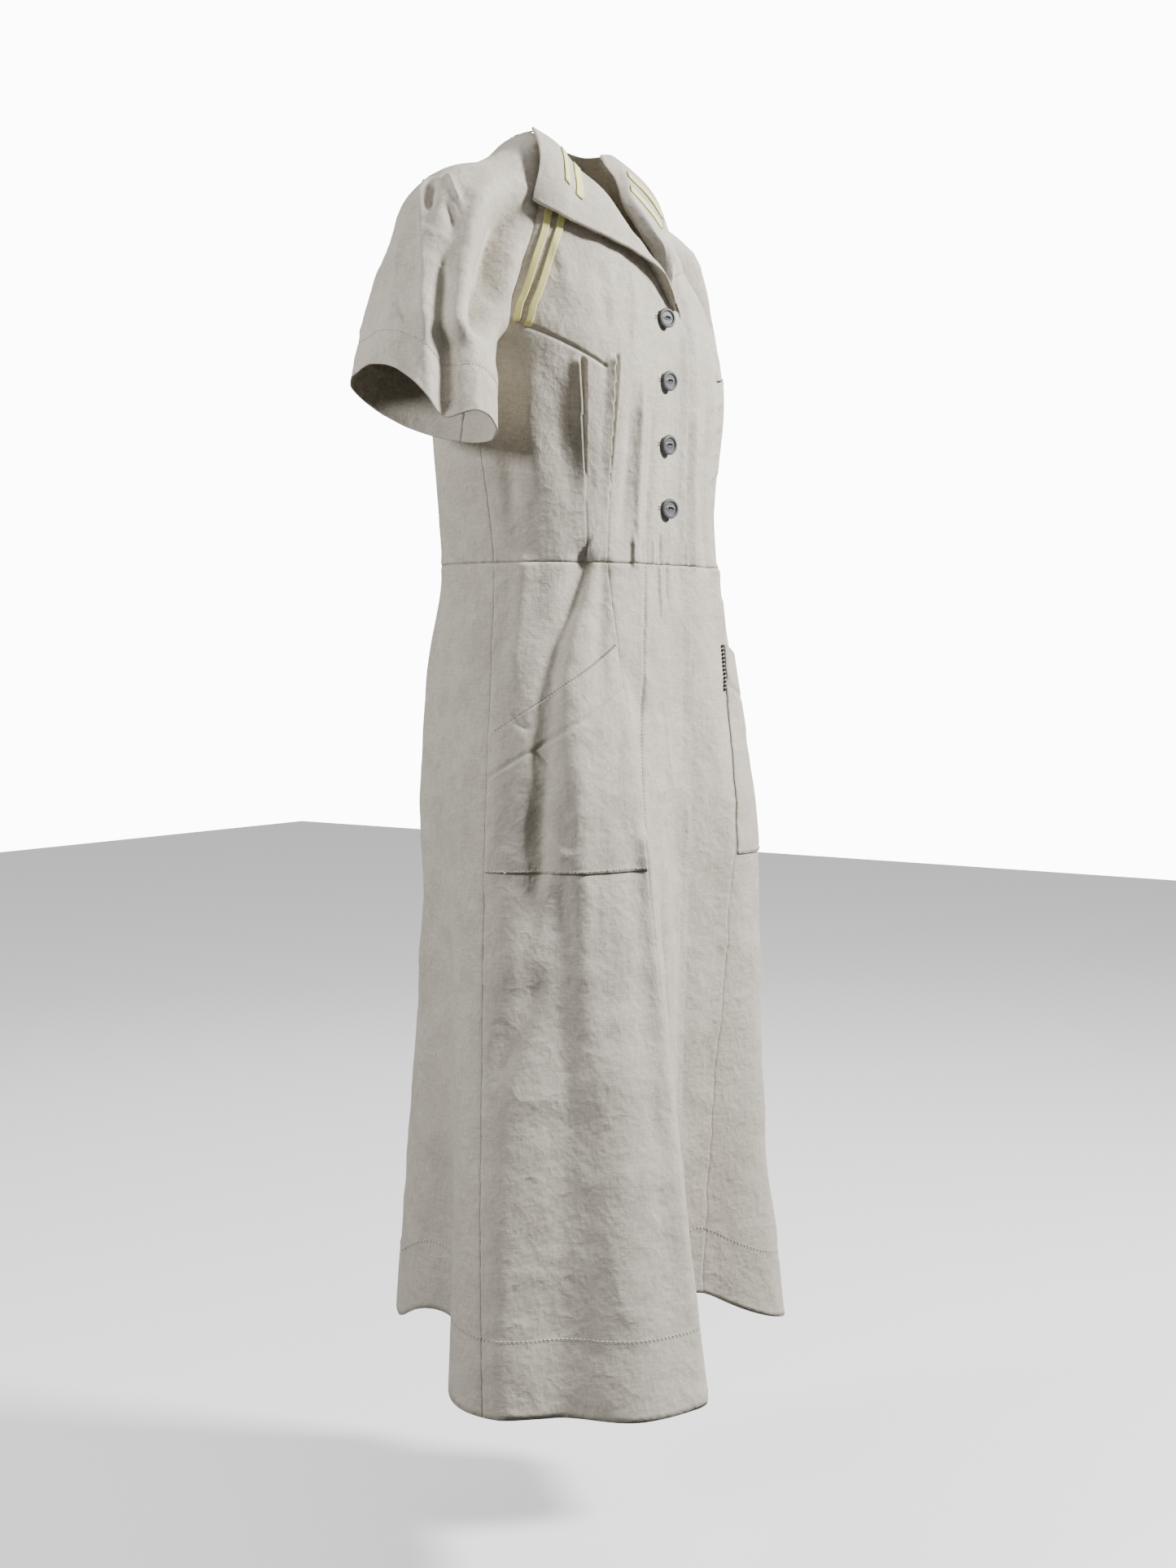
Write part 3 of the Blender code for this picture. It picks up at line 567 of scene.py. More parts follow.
# The slash seam with its stops, as shares of its length, and the edge of the front band
SLASH = ((73.5, 0.210), (65.0, 0.219), (52.5, 0.235), (41.5, 0.250))
SLASH_STOPS = (0.0, 0.27, 0.66, 1.0)
BAND = ((-18.0, 0.437), (-22.5, 0.520), (-26.0, 0.600), (-28.5, 0.700))
CREASES = (
    # The slash seam from the raglan seam, a groove under a soft ridge
    Crease(tuple((-angle, drop) for angle, drop in SLASH), -0.0016, 0.0019, 0.0015, True, True),
    Crease(SLASH, -0.0016, 0.0019, 0.0015, True, True),
    # Soft folds of the bodice below it
    Crease(((-60.0, 0.245), (-57.0, 0.320), (-53.0, 0.400)), -0.0016, 0.010, 0.014),
    Crease(((-66.0, 0.235), (-68.0, 0.300), (-64.0, 0.390)), 0.0022, 0.010, 0.012),
    Crease(((-78.0, 0.250), (-77.0, 0.330), (-74.0, 0.420)), -0.0024, 0.010, 0.010),
    Crease(((-28.0, 0.255), (-29.0, 0.330), (-33.0, 0.425)), -0.0022, 0.008, 0.010),
    Crease(((-22.0, 0.240), (-22.5, 0.320), (-24.0, 0.430)), 0.0020, 0.006, 0.007, False, True),
    Crease(((-14.0, 0.260), (-15.0, 0.330), (-18.0, 0.432)), -0.0014, 0.006, 0.008, False, True),
    Crease(((26.0, 0.240), (28.0, 0.320), (30.0, 0.432)), -0.0022, 0.008, 0.010, False, True),
    Crease(((18.0, 0.250), (19.0, 0.330), (20.0, 0.430)), 0.0020, 0.007, 0.007, False, True),
    Crease(((64.0, 0.245), (62.0, 0.330), (58.0, 0.420)), 0.0022, 0.012, 0.010),
    # Drag lines from the shoulder and under the collar
    Crease(((-62.0, 0.115), (-56.0, 0.160), (-54.0, 0.205)), 0.0012, 0.008, 0.010),
    Crease(((-46.0, 0.140), (-42.0, 0.180), (-40.0, 0.225)), -0.0012, 0.010, 0.010),
    Crease(((-24.0, 0.160), (-26.0, 0.200), (-30.0, 0.240)), 0.0010, 0.006, 0.009),
    Crease(((30.0, 0.170), (33.0, 0.205), (38.0, 0.240)), -0.0012, 0.008, 0.008),
    # Small gathers over the waist seam
    Crease(((-26.0, 0.405), (-26.0, 0.434)), 0.0016, 0.003, 0.003, False, True),
    Crease(((-19.5, 0.400), (-19.0, 0.434)), 0.0014, 0.003, 0.003, False, True),
    Crease(((-12.0, 0.408), (-12.5, 0.434)), 0.0012, 0.003, 0.003, False, True),
    Crease(((-7.0, 0.402), (-7.0, 0.434)), -0.0012, 0.003, 0.003, False, True),
    Crease(((12.0, 0.405), (12.0, 0.434)), 0.0014, 0.003, 0.003, False, True),
    Crease(((22.0, 0.400), (22.0, 0.434)), -0.0014, 0.004, 0.003, False, True),
    # Folds that hang from the waist over the hip and pocket
    Crease(
        (
            (-49.0, 0.437), (-53.5, 0.473), (-58.0, 0.505), (-61.0, 0.543),
            (-62.0, 0.621), (-63.0, 0.715), (-67.5, 0.795), (-72.0, 0.830),
        ),
        -0.0060, 0.017, 0.010, True,
    ),
    Crease(((-62.0, 0.800), (-66.0, 0.850), (-70.0, 0.890), (-75.0, 0.925)), -0.0040, 0.014, 0.009),
    Crease(
        ((-55.0, 0.520), (-52.0, 0.640), (-51.0, 0.750), (-50.5, 0.820), (-48.0, 0.960)),
        0.0038, 0.014, 0.012,
    ),
    Crease(((-41.0, 0.440), (-44.0, 0.520), (-44.0, 0.600)), -0.0022, 0.010, 0.010, True),
    Crease(((-34.0, 0.520), (-33.0, 0.640), (-30.0, 0.760)), 0.0030, 0.012, 0.010),
    Crease(((-71.0, 0.440), (-72.0, 0.500), (-74.0, 0.560)), 0.0026, 0.012, 0.010, True),
    Crease(
        ((-74.0, 0.576), (-70.0, 0.585), (-66.0, 0.594)),
        -0.0026, 0.003, 0.0035, False, False, True,
    ),
    Crease(
        ((-67.0, 0.608), (-62.5, 0.620), (-58.0, 0.633)),
        -0.0026, 0.003, 0.0035, False, False, True,
    ),
    Crease(((-62.0, 0.690), (-54.0, 0.712)), 0.0014, 0.005, 0.006),
    Crease(BAND, -0.0012, 0.0024, 0.0024, True, True),
    Crease(((-8.0, 0.437), (-9.0, 0.490)), 0.0014, 0.003, 0.003, True),
    Crease(((-2.5, 0.437), (-4.0, 0.478)), -0.0012, 0.003, 0.003, True),
    Crease(((36.0, 0.440), (40.0, 0.520), (42.0, 0.640)), 0.0034, 0.014, 0.012, True),
    Crease(((58.0, 0.440), (60.0, 0.530), (56.0, 0.640)), -0.0038, 0.014, 0.014, True),
    # The sharp edge of the flare beside the opening, the hollow by it and the band's wrinkles
    Crease(((-28.5, 0.700), (-27.0, 0.900), (-25.0, 1.190)), 0.0056, 0.013, 0.004, True, True),
    Crease(((-18.0, 0.690), (-16.0, 0.900), (-13.0, 1.150)), -0.0084, 0.009, 0.014),
    Crease(((-20.0, 0.720), (-12.0, 0.728), (-6.0, 0.724)), 0.0010, 0.003, 0.005),
    Crease(((-20.0, 0.660), (-13.0, 0.652), (-8.0, 0.662)), 0.0012, 0.004, 0.006),
    Crease(((-22.0, 0.820), (-14.0, 0.832), (-8.0, 0.824)), 0.0012, 0.004, 0.006),
    Crease(((-21.0, 0.900), (-14.0, 0.890), (-8.0, 0.900)), -0.0012, 0.004, 0.006),
    # The old line of a hem, and the folds of the sides and the back
    Crease(((-70.0, 1.059), (-58.0, 1.062), (-45.0, 1.063)), 0.0007, 0.002, 0.003),
    Crease(((-88.0, 0.560), (-90.0, 0.760), (-86.0, 1.000)), 0.0030, 0.012, 0.012),
    Crease(((-100.0, 0.460), (-104.0, 0.640), (-100.0, 0.800)), -0.0034, 0.014, 0.012),
    Crease(((-118.0, 0.445), (-122.0, 0.600), (-118.0, 0.760)), 0.0036, 0.014, 0.012),
    Crease(((-140.0, 0.440), (-137.0, 0.580), (-142.0, 0.740)), -0.0036, 0.014, 0.014),
    Crease(((-162.0, 0.440), (-165.0, 0.560), (-160.0, 0.700)), 0.0030, 0.012, 0.014),
    Crease(((98.0, 0.450), (101.0, 0.620), (97.0, 0.780)), 0.0034, 0.014, 0.012),
    Crease(((121.0, 0.440), (118.0, 0.570), (123.0, 0.720)), -0.0036, 0.013, 0.014),
    Crease(((146.0, 0.440), (150.0, 0.600), (145.0, 0.740)), 0.0032, 0.013, 0.013),
    # The back of the bodice: drag lines to the underarms and blousing over the waist
    Crease(((-112.0, 0.230), (-128.0, 0.215), (-146.0, 0.200)), 0.0022, 0.008, 0.011),
    Crease(((-108.0, 0.262), (-126.0, 0.268), (-148.0, 0.262)), 0.0020, 0.009, 0.010),
    Crease(((112.0, 0.232), (130.0, 0.220), (148.0, 0.208)), 0.0022, 0.011, 0.008),
    Crease(((106.0, 0.275), (124.0, 0.284), (150.0, 0.272)), 0.0018, 0.010, 0.010),
    Crease(((-132.0, 0.300), (-136.0, 0.360), (-134.0, 0.432)), 0.0030, 0.010, 0.008, False, True),
    Crease(((-160.0, 0.320), (-157.0, 0.380), (-159.0, 0.432)), -0.0024, 0.010, 0.010, False, True),
    Crease(((136.0, 0.290), (138.0, 0.350), (135.0, 0.432)), 0.0028, 0.009, 0.010, False, True),
    Crease(((164.0, 0.330), (161.0, 0.390), (163.0, 0.432)), -0.0022, 0.010, 0.009, False, True),
)


# The places along the sleeve and how far down it, in metres, each lies
SLEEVE_STOPS = (0.0, 0.25, 0.5, 0.75, 1.0, 1.25, 1.5, 2.0)
SLEEVE_RUN = (0.0, 0.052, 0.119, 0.190, 0.265, 0.297, 0.310, 0.348)
SLEEVE_DROOP = 0.012
SLEEVE_DIP = 0.026
SLEEVE_DIP_PLACE = (44.0, 27.0)
RAGLAN_ROWS = 96
# Each place is the degrees round the sleeve and the metres down it
SLEEVE_CREASES = (
    # The long fold from the shoulder to the hem and the valley in front of it
    Crease(
        ((97.0, 0.150), (86.0, 0.180), (75.0, 0.218), (68.0, 0.252), (61.0, 0.296), (56.0, 0.350)),
        0.0042, 0.011, 0.004, False, True, True,
    ),
    Crease(
        ((70.0, 0.190), (58.0, 0.225), (50.0, 0.262), (43.0, 0.300), (38.0, 0.350)),
        -0.0048, 0.009, 0.013, False, True,
    ),
    Crease(
        ((30.0, 0.215), (26.0, 0.262), (20.0, 0.310), (16.0, 0.350)),
        0.0022, 0.009, 0.008, False, True,
    ),
    # The pinch at the shoulder
    Crease(((93.0, 0.140), (84.0, 0.164), (72.0, 0.190)), -0.0085, 0.006, 0.006),
    Crease(
        ((82.0, 0.128), (66.0, 0.148), (53.0, 0.168), (44.0, 0.184)),
        0.0052, 0.004, 0.003, False, False, True,
    ),
    Crease(
        ((104.0, 0.132), (96.0, 0.152), (90.0, 0.178)),
        0.0034, 0.005, 0.003, False, False, True,
    ),
    Crease(((64.0, 0.172), (56.0, 0.186), (50.0, 0.200)), -0.0036, 0.004, 0.005),
    # Lines from lying folded
    Crease(
        ((70.0, 0.238), (54.0, 0.240), (38.0, 0.236)),
        0.0014, 0.0015, 0.003, False, False, True,
    ),
    Crease(
        ((74.0, 0.212), (60.0, 0.210), (44.0, 0.214)),
        0.0010, 0.0015, 0.003, False, False, True,
    ),
    Crease(
        ((100.0, 0.200), (97.0, 0.240), (94.0, 0.280), (95.0, 0.312)),
        0.0018, 0.002, 0.004, False, False, True,
    ),
    Crease(((94.0, 0.268), (84.0, 0.284), (76.0, 0.312)), -0.0022, 0.003, 0.004),
    Crease(
        ((100.0, 0.296), (88.0, 0.298), (78.0, 0.296)),
        0.0016, 0.0015, 0.0025, False, False, True,
    ),
    Crease(((128.0, 0.250), (112.0, 0.258), (99.0, 0.256)), 0.0016, 0.002, 0.004),
    Crease(((120.0, 0.190), (112.0, 0.215), (116.0, 0.240)), -0.0018, 0.005, 0.006),
    Crease(((140.0, 0.205), (136.0, 0.262), (140.0, 0.330)), 0.0024, 0.007, 0.006),
    Crease(((165.0, 0.180), (160.0, 0.240), (164.0, 0.320)), -0.0024, 0.007, 0.008),
    # The turned hem's line
    Crease(((-90.0, 0.313), (270.0, 0.313)), -0.0007, 0.0016, 0.0016, True, True),
)


@dataclass
class BodyForm:
    """The worn form of the body's cloth, with its folds, creases and light crumpling."""

    relief: Noise = field(default_factory=lambda: Noise(11))
    sections: Array = field(init=False)
    folds: Array = field(init=False)

    def __post_init__(self) -> None:
        """Prepare the tables for reading."""
        self.sections = np.array(BODY, float)
        table = np.array(FOLDS, float)
        before, after = table[-3:].copy(), table[:3].copy()
        before[:, 0] -= 360
        after[:, 0] += 360
        self.folds = np.concatenate([before, table, after])

    def section(self, angle: Array, drop: Array) -> Array:
        """The radius of the plain rounded section."""
        table = through(drop, self.sections[:, 0], self.sections[:, 1:])
        side = np.abs(np.sin(np.radians(angle))) / table[..., 0]
        facing = np.cos(np.radians(angle))
        depth = np.where(facing > 0, table[..., 1], table[..., 2])
        power = table[..., 3]
        return (side**power + (np.abs(facing) / depth) ** power) ** (-1 / power)

    def skirt_fold(self, angle: Array, drop: Array) -> Array:
        """How far the skirt's folds move the cloth from the plain section."""
        table = through(turn(angle), self.folds[:, 0], self.folds[:, 1:])
        grown = np.clip((drop - table[..., 1]) / (HEM - table[..., 1]), 0, None) ** FOLD_EASE
        return grown * (table[..., 0] - self.section(angle, np.full_like(drop, HEM)))

    def tucks(self, angle: Array, drop: Array) -> Array:
        """How far the release tucks raise the front, to an edge over a recess."""
        total = np.zeros_like(drop)
        for tuck in TUCKS:
            share = np.clip((drop - tuck.open_drop) / (WAIST - tuck.open_drop), 0, 1)
            fold = tuck.top_angle + share * (tuck.waist_angle - tuck.top_angle)
            left = np.clip((tuck.closed_drop - drop) / (tuck.closed_drop - tuck.open_drop), 0, 1)
            opened = soft_step(drop, tuck.open_drop - 0.004, tuck.open_drop + 0.006) * left**0.6
            past = np.abs(turn(angle)) - fold
            raised = tuck.height * np.clip(1 - past / TUCK_WIDTH, 0, 1) ** 1.3
            inside = np.clip(-past / (TUCK_RECESS * np.maximum(left, 0.05)), 0, 1.5)
            sunk = -TUCK_DEPTH * (1 - soft_step(inside, 0.5, 1.05))
            total = total + opened * np.where(past > 0, raised, sunk)
            stitched = soft_step(drop, tuck.closed_drop - 0.03, tuck.closed_drop)
            total = total - 0.0010 * stitched * np.exp(-((past / 0.45) ** 2))
        return np.where(drop < WAIST, total, 0)

    def crumple(self, angle: Array, drop: Array) -> Array:
        """The fine creasing that wear leaves, more on the skirt than on the bodice."""
        u, v = np.radians(turn(angle)) * RELIEF_RADIUS, np.asarray(drop, float)
        lower = soft_step(v, 0.44, 0.56)
        shade = self.relief.creased(u, v * 0.60, 0.052) * (0.0008 + 0.0014 * lower)
        upright = self.relief.at(u + 3.1, v * 0.22, 0.016) * 0.0005
        upright = upright * (1 - lower) * soft_step(v, 0.24, 0.30)
        small = self.relief.at(u + 1.7, v * 0.7, 0.021) * (0.00024 + 0.00050 * lower)
        return shade + upright + small

    def puckers(self, angle: Array, drop: Array) -> Array:
        """The small ripples that sewing draws along the seams."""
        around = np.abs(turn(angle))
        u, v = np.radians(turn(angle)) * RELIEF_RADIUS, np.asarray(drop, float)
        along = self.relief.at(v + 0.4, around * 0 + np.sign(turn(angle)) * 0.3, 0.0075)
        round_it = self.relief.at(u + 9.0, v * 0 + 0.2, 0.0085)
        front = through(v, column(RAGLAN, "front_drop"), column(RAGLAN, "front_angle"))
        total = along * 0.0009 * bell(around, front - 1.8, 1.7) * (v < UNDERARM)
        for name in ("princess", "side"):
            total = total + along * 0.0006 * bell(around, seam_angle(name, v), 1.6) * (v > WAIST)
        bodice = (v > UNDERARM) & (v < WAIST)
        total = total + along * 0.0005 * bell(around, seam_angle("side", v), 1.6) * bodice
        total = total + round_it * 0.0009 * bell(v, WAIST, 0.009)
        total = total + round_it * 0.0007 * bell(v, hem_drop(angle) - HEM_DEPTH, 0.007)
        return total

    def radius(self, angle: Array, drop: Array) -> Array:
        """The radius of the cloth's outer face."""
        radius = self.section(angle, drop) + self.skirt_fold(angle, drop) + self.tucks(angle, drop)
        for full in FULLNESS:
            swell = bell(turn(angle), full.angle, full.angle_spread)
            radius = radius + full.out * swell * bell(drop, full.drop, full.drop_spread)
        for crease in CREASES:
            radius = radius + CREASE_GAIN * crease.lift(turn(angle) * BODY_SCALE, drop)
        return radius + self.crumple(angle, drop) + self.puckers(angle, drop)

    def point(self, angle: Array | float, drop: Array | float, out: Array | float = 0.0) -> Array:
        """Points of the cloth.

        Args:
            angle: Angles round the body, in degrees.
            drop: Drops of the points.
            out: How far each is moved out, level, from the cloth.

        Returns:
            The points, in metres, with a last axis of three.
        """
        angle, drop = np.broadcast_arrays(np.asarray(angle, float), np.asarray(drop, float))
        radius = self.radius(angle, drop) + out
        x = radius * np.sin(np.radians(angle))
        y = AXIS_Y - radius * np.cos(np.radians(angle))
        return np.stack([x, y, -drop], axis=-1)

    def angle_at_x(self, x: Array | float, drop: Array) -> Array:
        """The angle of the front's point at a distance x from the centre."""
        angle = np.zeros_like(np.asarray(drop, float))
        for _ in range(8):
            radius = self.section(angle, drop) + self.skirt_fold(angle, drop)
            angle = np.degrees(np.arcsin(np.clip(x / radius, -0.95, 0.95)))
        return angle

    def normal(self, angle: Array, drop: Array) -> Array:
        """The outward direction of the cloth at the places."""
        angle, drop = np.broadcast_arrays(np.asarray(angle, float), np.asarray(drop, float))
        across = self.point(angle + 0.25, drop) - self.point(angle - 0.25, drop)
        down = self.point(angle, drop + 0.001) - self.point(angle, drop - 0.001)
        return unit(np.cross(down, across))


def pocket_swell(share: Array) -> Array:
    """How much of a pocket's stand there is at the shares of the way across."""
    return np.sin(np.pi * share) ** 0.7


def hem_drop(angle: Array) -> Array:
    """The drop of the skirt's hem."""
    return HEM - sum(lift.height * bell(turn(angle), lift.angle, lift.spread) for lift in LIFTS)


def seam_angle(name: str, drop: Array | float) -> Array:
    """The angle of a seam of the skirt at a drop."""
    return through(drop, column(SEAMS, "drop"), column(SEAMS, name))


def raglan(name: str, along: Array | float) -> Array:
    """A column of the raglan table at a place along the seam."""
    return through(along, column(RAGLAN, "along"), column(RAGLAN, name))


def edge_at(rows: Sequence[Edge], share: Array | float) -> tuple[Array, Array]:
    """A place of an edge table, by its share of the way along, as angle and drop."""
    stops = np.linspace(0, 1, len(rows))
    return through(share, stops, column(rows, "angle")), through(share, stops, column(rows, "drop"))


def underlap(form: BodyForm, side: Side, angle: Array, drop: Array) -> Array:
    """How far in the left front and its collar run under the right ones."""
    if side is Side.RIGHT:
        return np.zeros_like(drop)
    covered = form.angle_at_x(OVERLAP_X, drop)
    step = UNDERLAP_STEP + UNDERLAP_NECK_STEP * (1 - soft_step(drop, 0.20, 0.24))
    return -step * (1 - soft_step(angle, covered + 1.5, covered + 9.0))


def layered(form: BodyForm, side: Side, angle: Array, drop: Array) -> Array:
    """How far out a front lies: its underlap, or the slight lift of the overlap's free edge."""
    if side is Side.LEFT:
        return underlap(form, side, angle, drop)
    edge = form.angle_at_x(OVERLAP_X, drop)
    lifted = 0.0024 + 0.0006 * (1 - soft_step(drop, WAIST - 0.06, WAIST))
    return lifted * soft_step(angle, edge - 5.0, edge) * soft_step(drop, V_BOTTOM, V_BOTTOM + 0.03)


@dataclass
class Graph:
    """The node tree of one material, built by expressions and one node method."""

    material: bpy.types.Material

    def node(
        self, kind: str, settings: dict | None = None, inputs: dict | None = None
    ) -> bpy.types.Node:
        """Add a node.

        Args:
            kind: The node's Blender type.
            settings: Properties to set on it.
            inputs: Values or Sockets for its inputs, by name or index.

        Returns:
            The node.
        """
        made = self.material.node_tree.nodes.new(kind)
        for key, value in (settings or {}).items():
            setattr(made, key, value)
        for key, value in (inputs or {}).items():
            self.feed(made.inputs[key], value)
        return made

    def feed(self, target: bpy.types.NodeSocket, value: Socket | float | tuple) -> None:
        """Link a Socket to an input, or set the input's own value."""
        if isinstance(value, Socket):
            self.material.node_tree.links.new(value.out, target)
        else:
            target.default_value = value

    def noise(self, where: Socket, scale: float, detail: float = 3.0, kind: str = "FBM") -> Socket:
        """Noise of a scale, in cells a metre."""
        made = self.node(
            "ShaderNodeTexNoise",
            {"noise_type": kind, "normalize": True},
            {"Vector": where, "Scale": scale, "Detail": detail, "Roughness": 0.55},
        )
        return Socket(self, made.outputs["Fac"])

    def stretched(self, where: Socket, amounts: Point) -> Socket:
        """Coordinates multiplied by an amount on each axis."""
        made = self.node("ShaderNodeVectorMath", {"operation": "MULTIPLY"}, {0: where, 1: amounts})
        return Socket(self, made.outputs[0])

    def mix(self, share: Socket | float, first: Socket | tuple, second: Socket | tuple) -> Socket:
        """A colour between two others."""
        made = self.node("ShaderNodeMix", {"data_type": "RGBA"}, {0: share, 6: first, 7: second})
        return Socket(self, made.outputs[2])

    def coordinates(self, name: str) -> Socket:
        """The UV or Object coordinates, in metres."""
        made = self.node("ShaderNodeTexCoord")
        return Socket(self, made.outputs[name])

    def wave(self, where: Socket, way: str, scale: float) -> Socket:
        """Even bands across an axis."""
        settings, inputs = {"bands_direction": way}, {"Vector": where, "Scale": scale}
        return Socket(self, self.node("ShaderNodeTexWave", settings, inputs).outputs["Fac"])

    def bump(
        self, height: Socket, strength: float, distance: float, under: Socket | None = None
    ) -> Socket:
        """A normal raised by a height, over another normal if one is given."""
        inputs = {"Strength": strength, "Distance": distance, "Height": height}
        if under is not None:
            inputs["Normal"] = under
        return Socket(self, self.node("ShaderNodeBump", None, inputs).outputs[0])


@dataclass
class Socket:
    """A value of a shader that works in Python arithmetic."""

    graph: Graph
    out: bpy.types.NodeSocket

    def calc(self, operation: str, *values: Socket | float) -> Socket:
        """A Math node of the values."""
        made = self.graph.node("ShaderNodeMath", {"operation": operation}, dict(enumerate(values)))
        return Socket(self.graph, made.outputs[0])

    def __add__(self, other: Socket | float) -> Socket:
        """Sum."""
        return self.calc("ADD", self, other)

    __radd__ = __add__

    def __sub__(self, other: Socket | float) -> Socket:
        """Difference."""
        return self.calc("SUBTRACT", self, other)

    def __rsub__(self, other: Socket | float) -> Socket:
        """Difference from a number."""
        return self.calc("SUBTRACT", other, self)

    def __mul__(self, other: Socket | float) -> Socket:
        """Product."""
        return self.calc("MULTIPLY", self, other)

    __rmul__ = __mul__

    def __abs__(self) -> Socket:
        """Absolute value."""
        return self.calc("ABSOLUTE", self)

    def smooth(self, low: float, high: float) -> Socket:
        """0 below low, 1 above high, and a soft rise between them."""
        made = self.graph.node(
            "ShaderNodeMapRange",
            {"interpolation_type": "SMOOTHSTEP"},
            {"Value": self, "From Min": low, "From Max": high},
        )
        return Socket(self.graph, made.outputs[0])


@dataclass(frozen=True)
class Stain:
    """A faint mark in the cloth: its middle, its size and how strong it is."""

    middle: Point
    size: float
    strength: float


@dataclass(frozen=True)
class Weave:
    """A plain-woven cloth finish.

    The colours are linear. The slub is how far the yarns vary in tone, and the crumple is
    the height of the fine creasing in its bump, in metres.
    """

    name: str
    colour: Colour
    dark: Colour
    slub: float = 0.5
    crumple: float = 0.0028
    threads: float = 1900.0
    stains: tuple[Stain, ...] = ()

    def make(self) -> bpy.types.Material:
        """Build the material."""
        material = bpy.data.materials.new(self.name)
        material.use_nodes = True
        graph = Graph(material)
        shader = material.node_tree.nodes["Principled BSDF"]
        shader.inputs["Roughness"].default_value = 0.88
        shader.inputs["Specular IOR Level"].default_value = 0.22
        shader.inputs["Sheen Weight"].default_value = 0.10
        shader.inputs["Sheen Roughness"].default_value = 0.45
        uv = graph.coordinates("UV")
        place = graph.coordinates("Object")
        warp = graph.noise(graph.stretched(uv, (1.0, 0.05, 1.0)), 900.0, 1.0)
        weft = graph.noise(graph.stretched(uv, (0.05, 1.0, 1.0)), 1000.0, 1.0)
        yarn = (warp - 0.5) * 0.8 + (weft - 0.5)
        large = graph.noise(place, 7.0, 3.0)
        cloudy = graph.noise(place, 38.0, 4.0)
        grain = graph.noise(place, 310.0, 2.0)
        mottle = (large - 0.5) * 0.5 + (cloudy - 0.5) * 0.45 + (grain - 0.5) * 0.5
        tone = (yarn * self.slub + mottle + 0.5).smooth(0.0, 1.0)
        colour = graph.mix(tone, (*self.dark, 1.0), (*self.colour, 1.0))
        for stain in self.stains:
            moved = graph.node(
                "ShaderNodeVectorMath", {"operation": "DISTANCE"}, {0: place, 1: stain.middle}
            )
            edge = Socket(graph, moved.outputs["Value"]) + (cloudy - 0.5) * stain.size
            mask = (1.0 - edge.smooth(stain.size * 0.35, stain.size)) * stain.strength
            colour = graph.mix(mask, colour, (0.30, 0.21, 0.12, 1.0))
        graph.feed(shader.inputs["Base Color"], colour)
        ridged = abs(graph.noise(place, 26.0, 3.0) - 0.5) * -2.0
        fine = abs(graph.noise(place, 74.0, 2.0) - 0.5) * -2.0
        creased = graph.bump(ridged + fine * 0.30, 0.80, self.crumple)
        over, under = (graph.wave(uv, way, self.threads / 6.283) for way in "XY")
        threads = over + under
        woven = graph.bump(threads * 0.5 + yarn * 0.8, 0.35, 0.00025, creased)
        graph.feed(shader.inputs["Normal"], woven)
        return material


@dataclass(frozen=True)
class Plastic:
    """A turned grey plastic with a soft gloss."""

    name: str
    colour: Colour
    roughness: float

    def make(self) -> bpy.types.Material:
        """Build the material."""
        material = bpy.data.materials.new(self.name)
        material.use_nodes = True
        graph = Graph(material)
        shader = material.node_tree.nodes["Principled BSDF"]
        shader.inputs["Specular IOR Level"].default_value = 0.45
        place = graph.coordinates("Object")
        cloud = graph.noise(place, 320.0, 3.0)
        pale = tuple(min(1.0, part * 1.35) for part in self.colour)
        colour = graph.mix(cloud.smooth(0.3, 0.75), (*self.colour, 1.0), (*pale, 1.0))
        graph.feed(shader.inputs["Base Color"], colour)
        graph.feed(shader.inputs["Roughness"], cloud * 0.25 + self.roughness)
        grain = graph.noise(place, 1400.0, 2.0)
        graph.feed(shader.inputs["Normal"], graph.bump(grain, 0.15, 0.0001))
        return material


@dataclass
class Finishes:
    """The materials of the dress."""

    cloth: bpy.types.Material
    collar: bpy.types.Material
    tape: bpy.types.Material
    # Greige thread, also used for the painted shade line under the hem's stitching
    thread: bpy.types.Material
    # Pale thread of the stitching, also used for painted highlights along edges
    pale_thread: bpy.types.Material
    button: bpy.types.Material
    # Near-black: painted shadow lines by edges, seams and the pocket's gape, and the buttons' dark
    # thread
    hole: bpy.types.Material

    @classmethod
    def make(cls) -> Finishes:
        """Build them all."""
        stains = (
            Stain((0.060, -0.118, -0.320), 0.022, 0.16),
            Stain((0.110, -0.100, -0.640), 0.035, 0.12),
            Stain((-0.102, -0.085, -0.359), 0.0022, 0.7),
        )
        looks = (
            Weave("greige_cloth", (0.660, 0.612, 0.525), (0.400, 0.364, 0.300), stains=stains),
            Weave("greige_collar", (0.650, 0.604, 0.522), (0.420, 0.384, 0.322), crumple=0.0020),
            Weave("yellow_tape", (0.90, 0.865, 0.385), (0.79, 0.745, 0.290), 0.35, 0.0007, 2600.0),
            Weave("greige_thread", (0.30, 0.275, 0.235), (0.22, 0.200, 0.170), 0.2, 0.0002),
            # Pale thread, also used for painted highlights along the overlap's edge and the
            # pockets' mouths
            Weave("pale_thread", (0.74, 0.715, 0.66), (0.62, 0.595, 0.545), 0.2, 0.0002),
            Plastic("grey_plastic", (0.078, 0.080, 0.084), 0.36),
            # Near-black finish: painted shadow for the dark lines and the gape, and the buttons'
            # dark thread
            Weave("shadowed_thread", (0.045, 0.042, 0.040), (0.03, 0.028, 0.027), 0.2, 0.0002),
        )
        return cls(*(look.make() for look in looks))


def finish_piece(piece: bpy.types.Object, nodes: Sequence[str] = ()) -> None:
    """Put a piece on the dress, hide the CAD parts that it stands for, and log its faces."""
    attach(piece, "root")
    if nodes:
        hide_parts(*nodes)
    LOG.info("%s: %d faces", piece.name, len(piece.data.polygons))


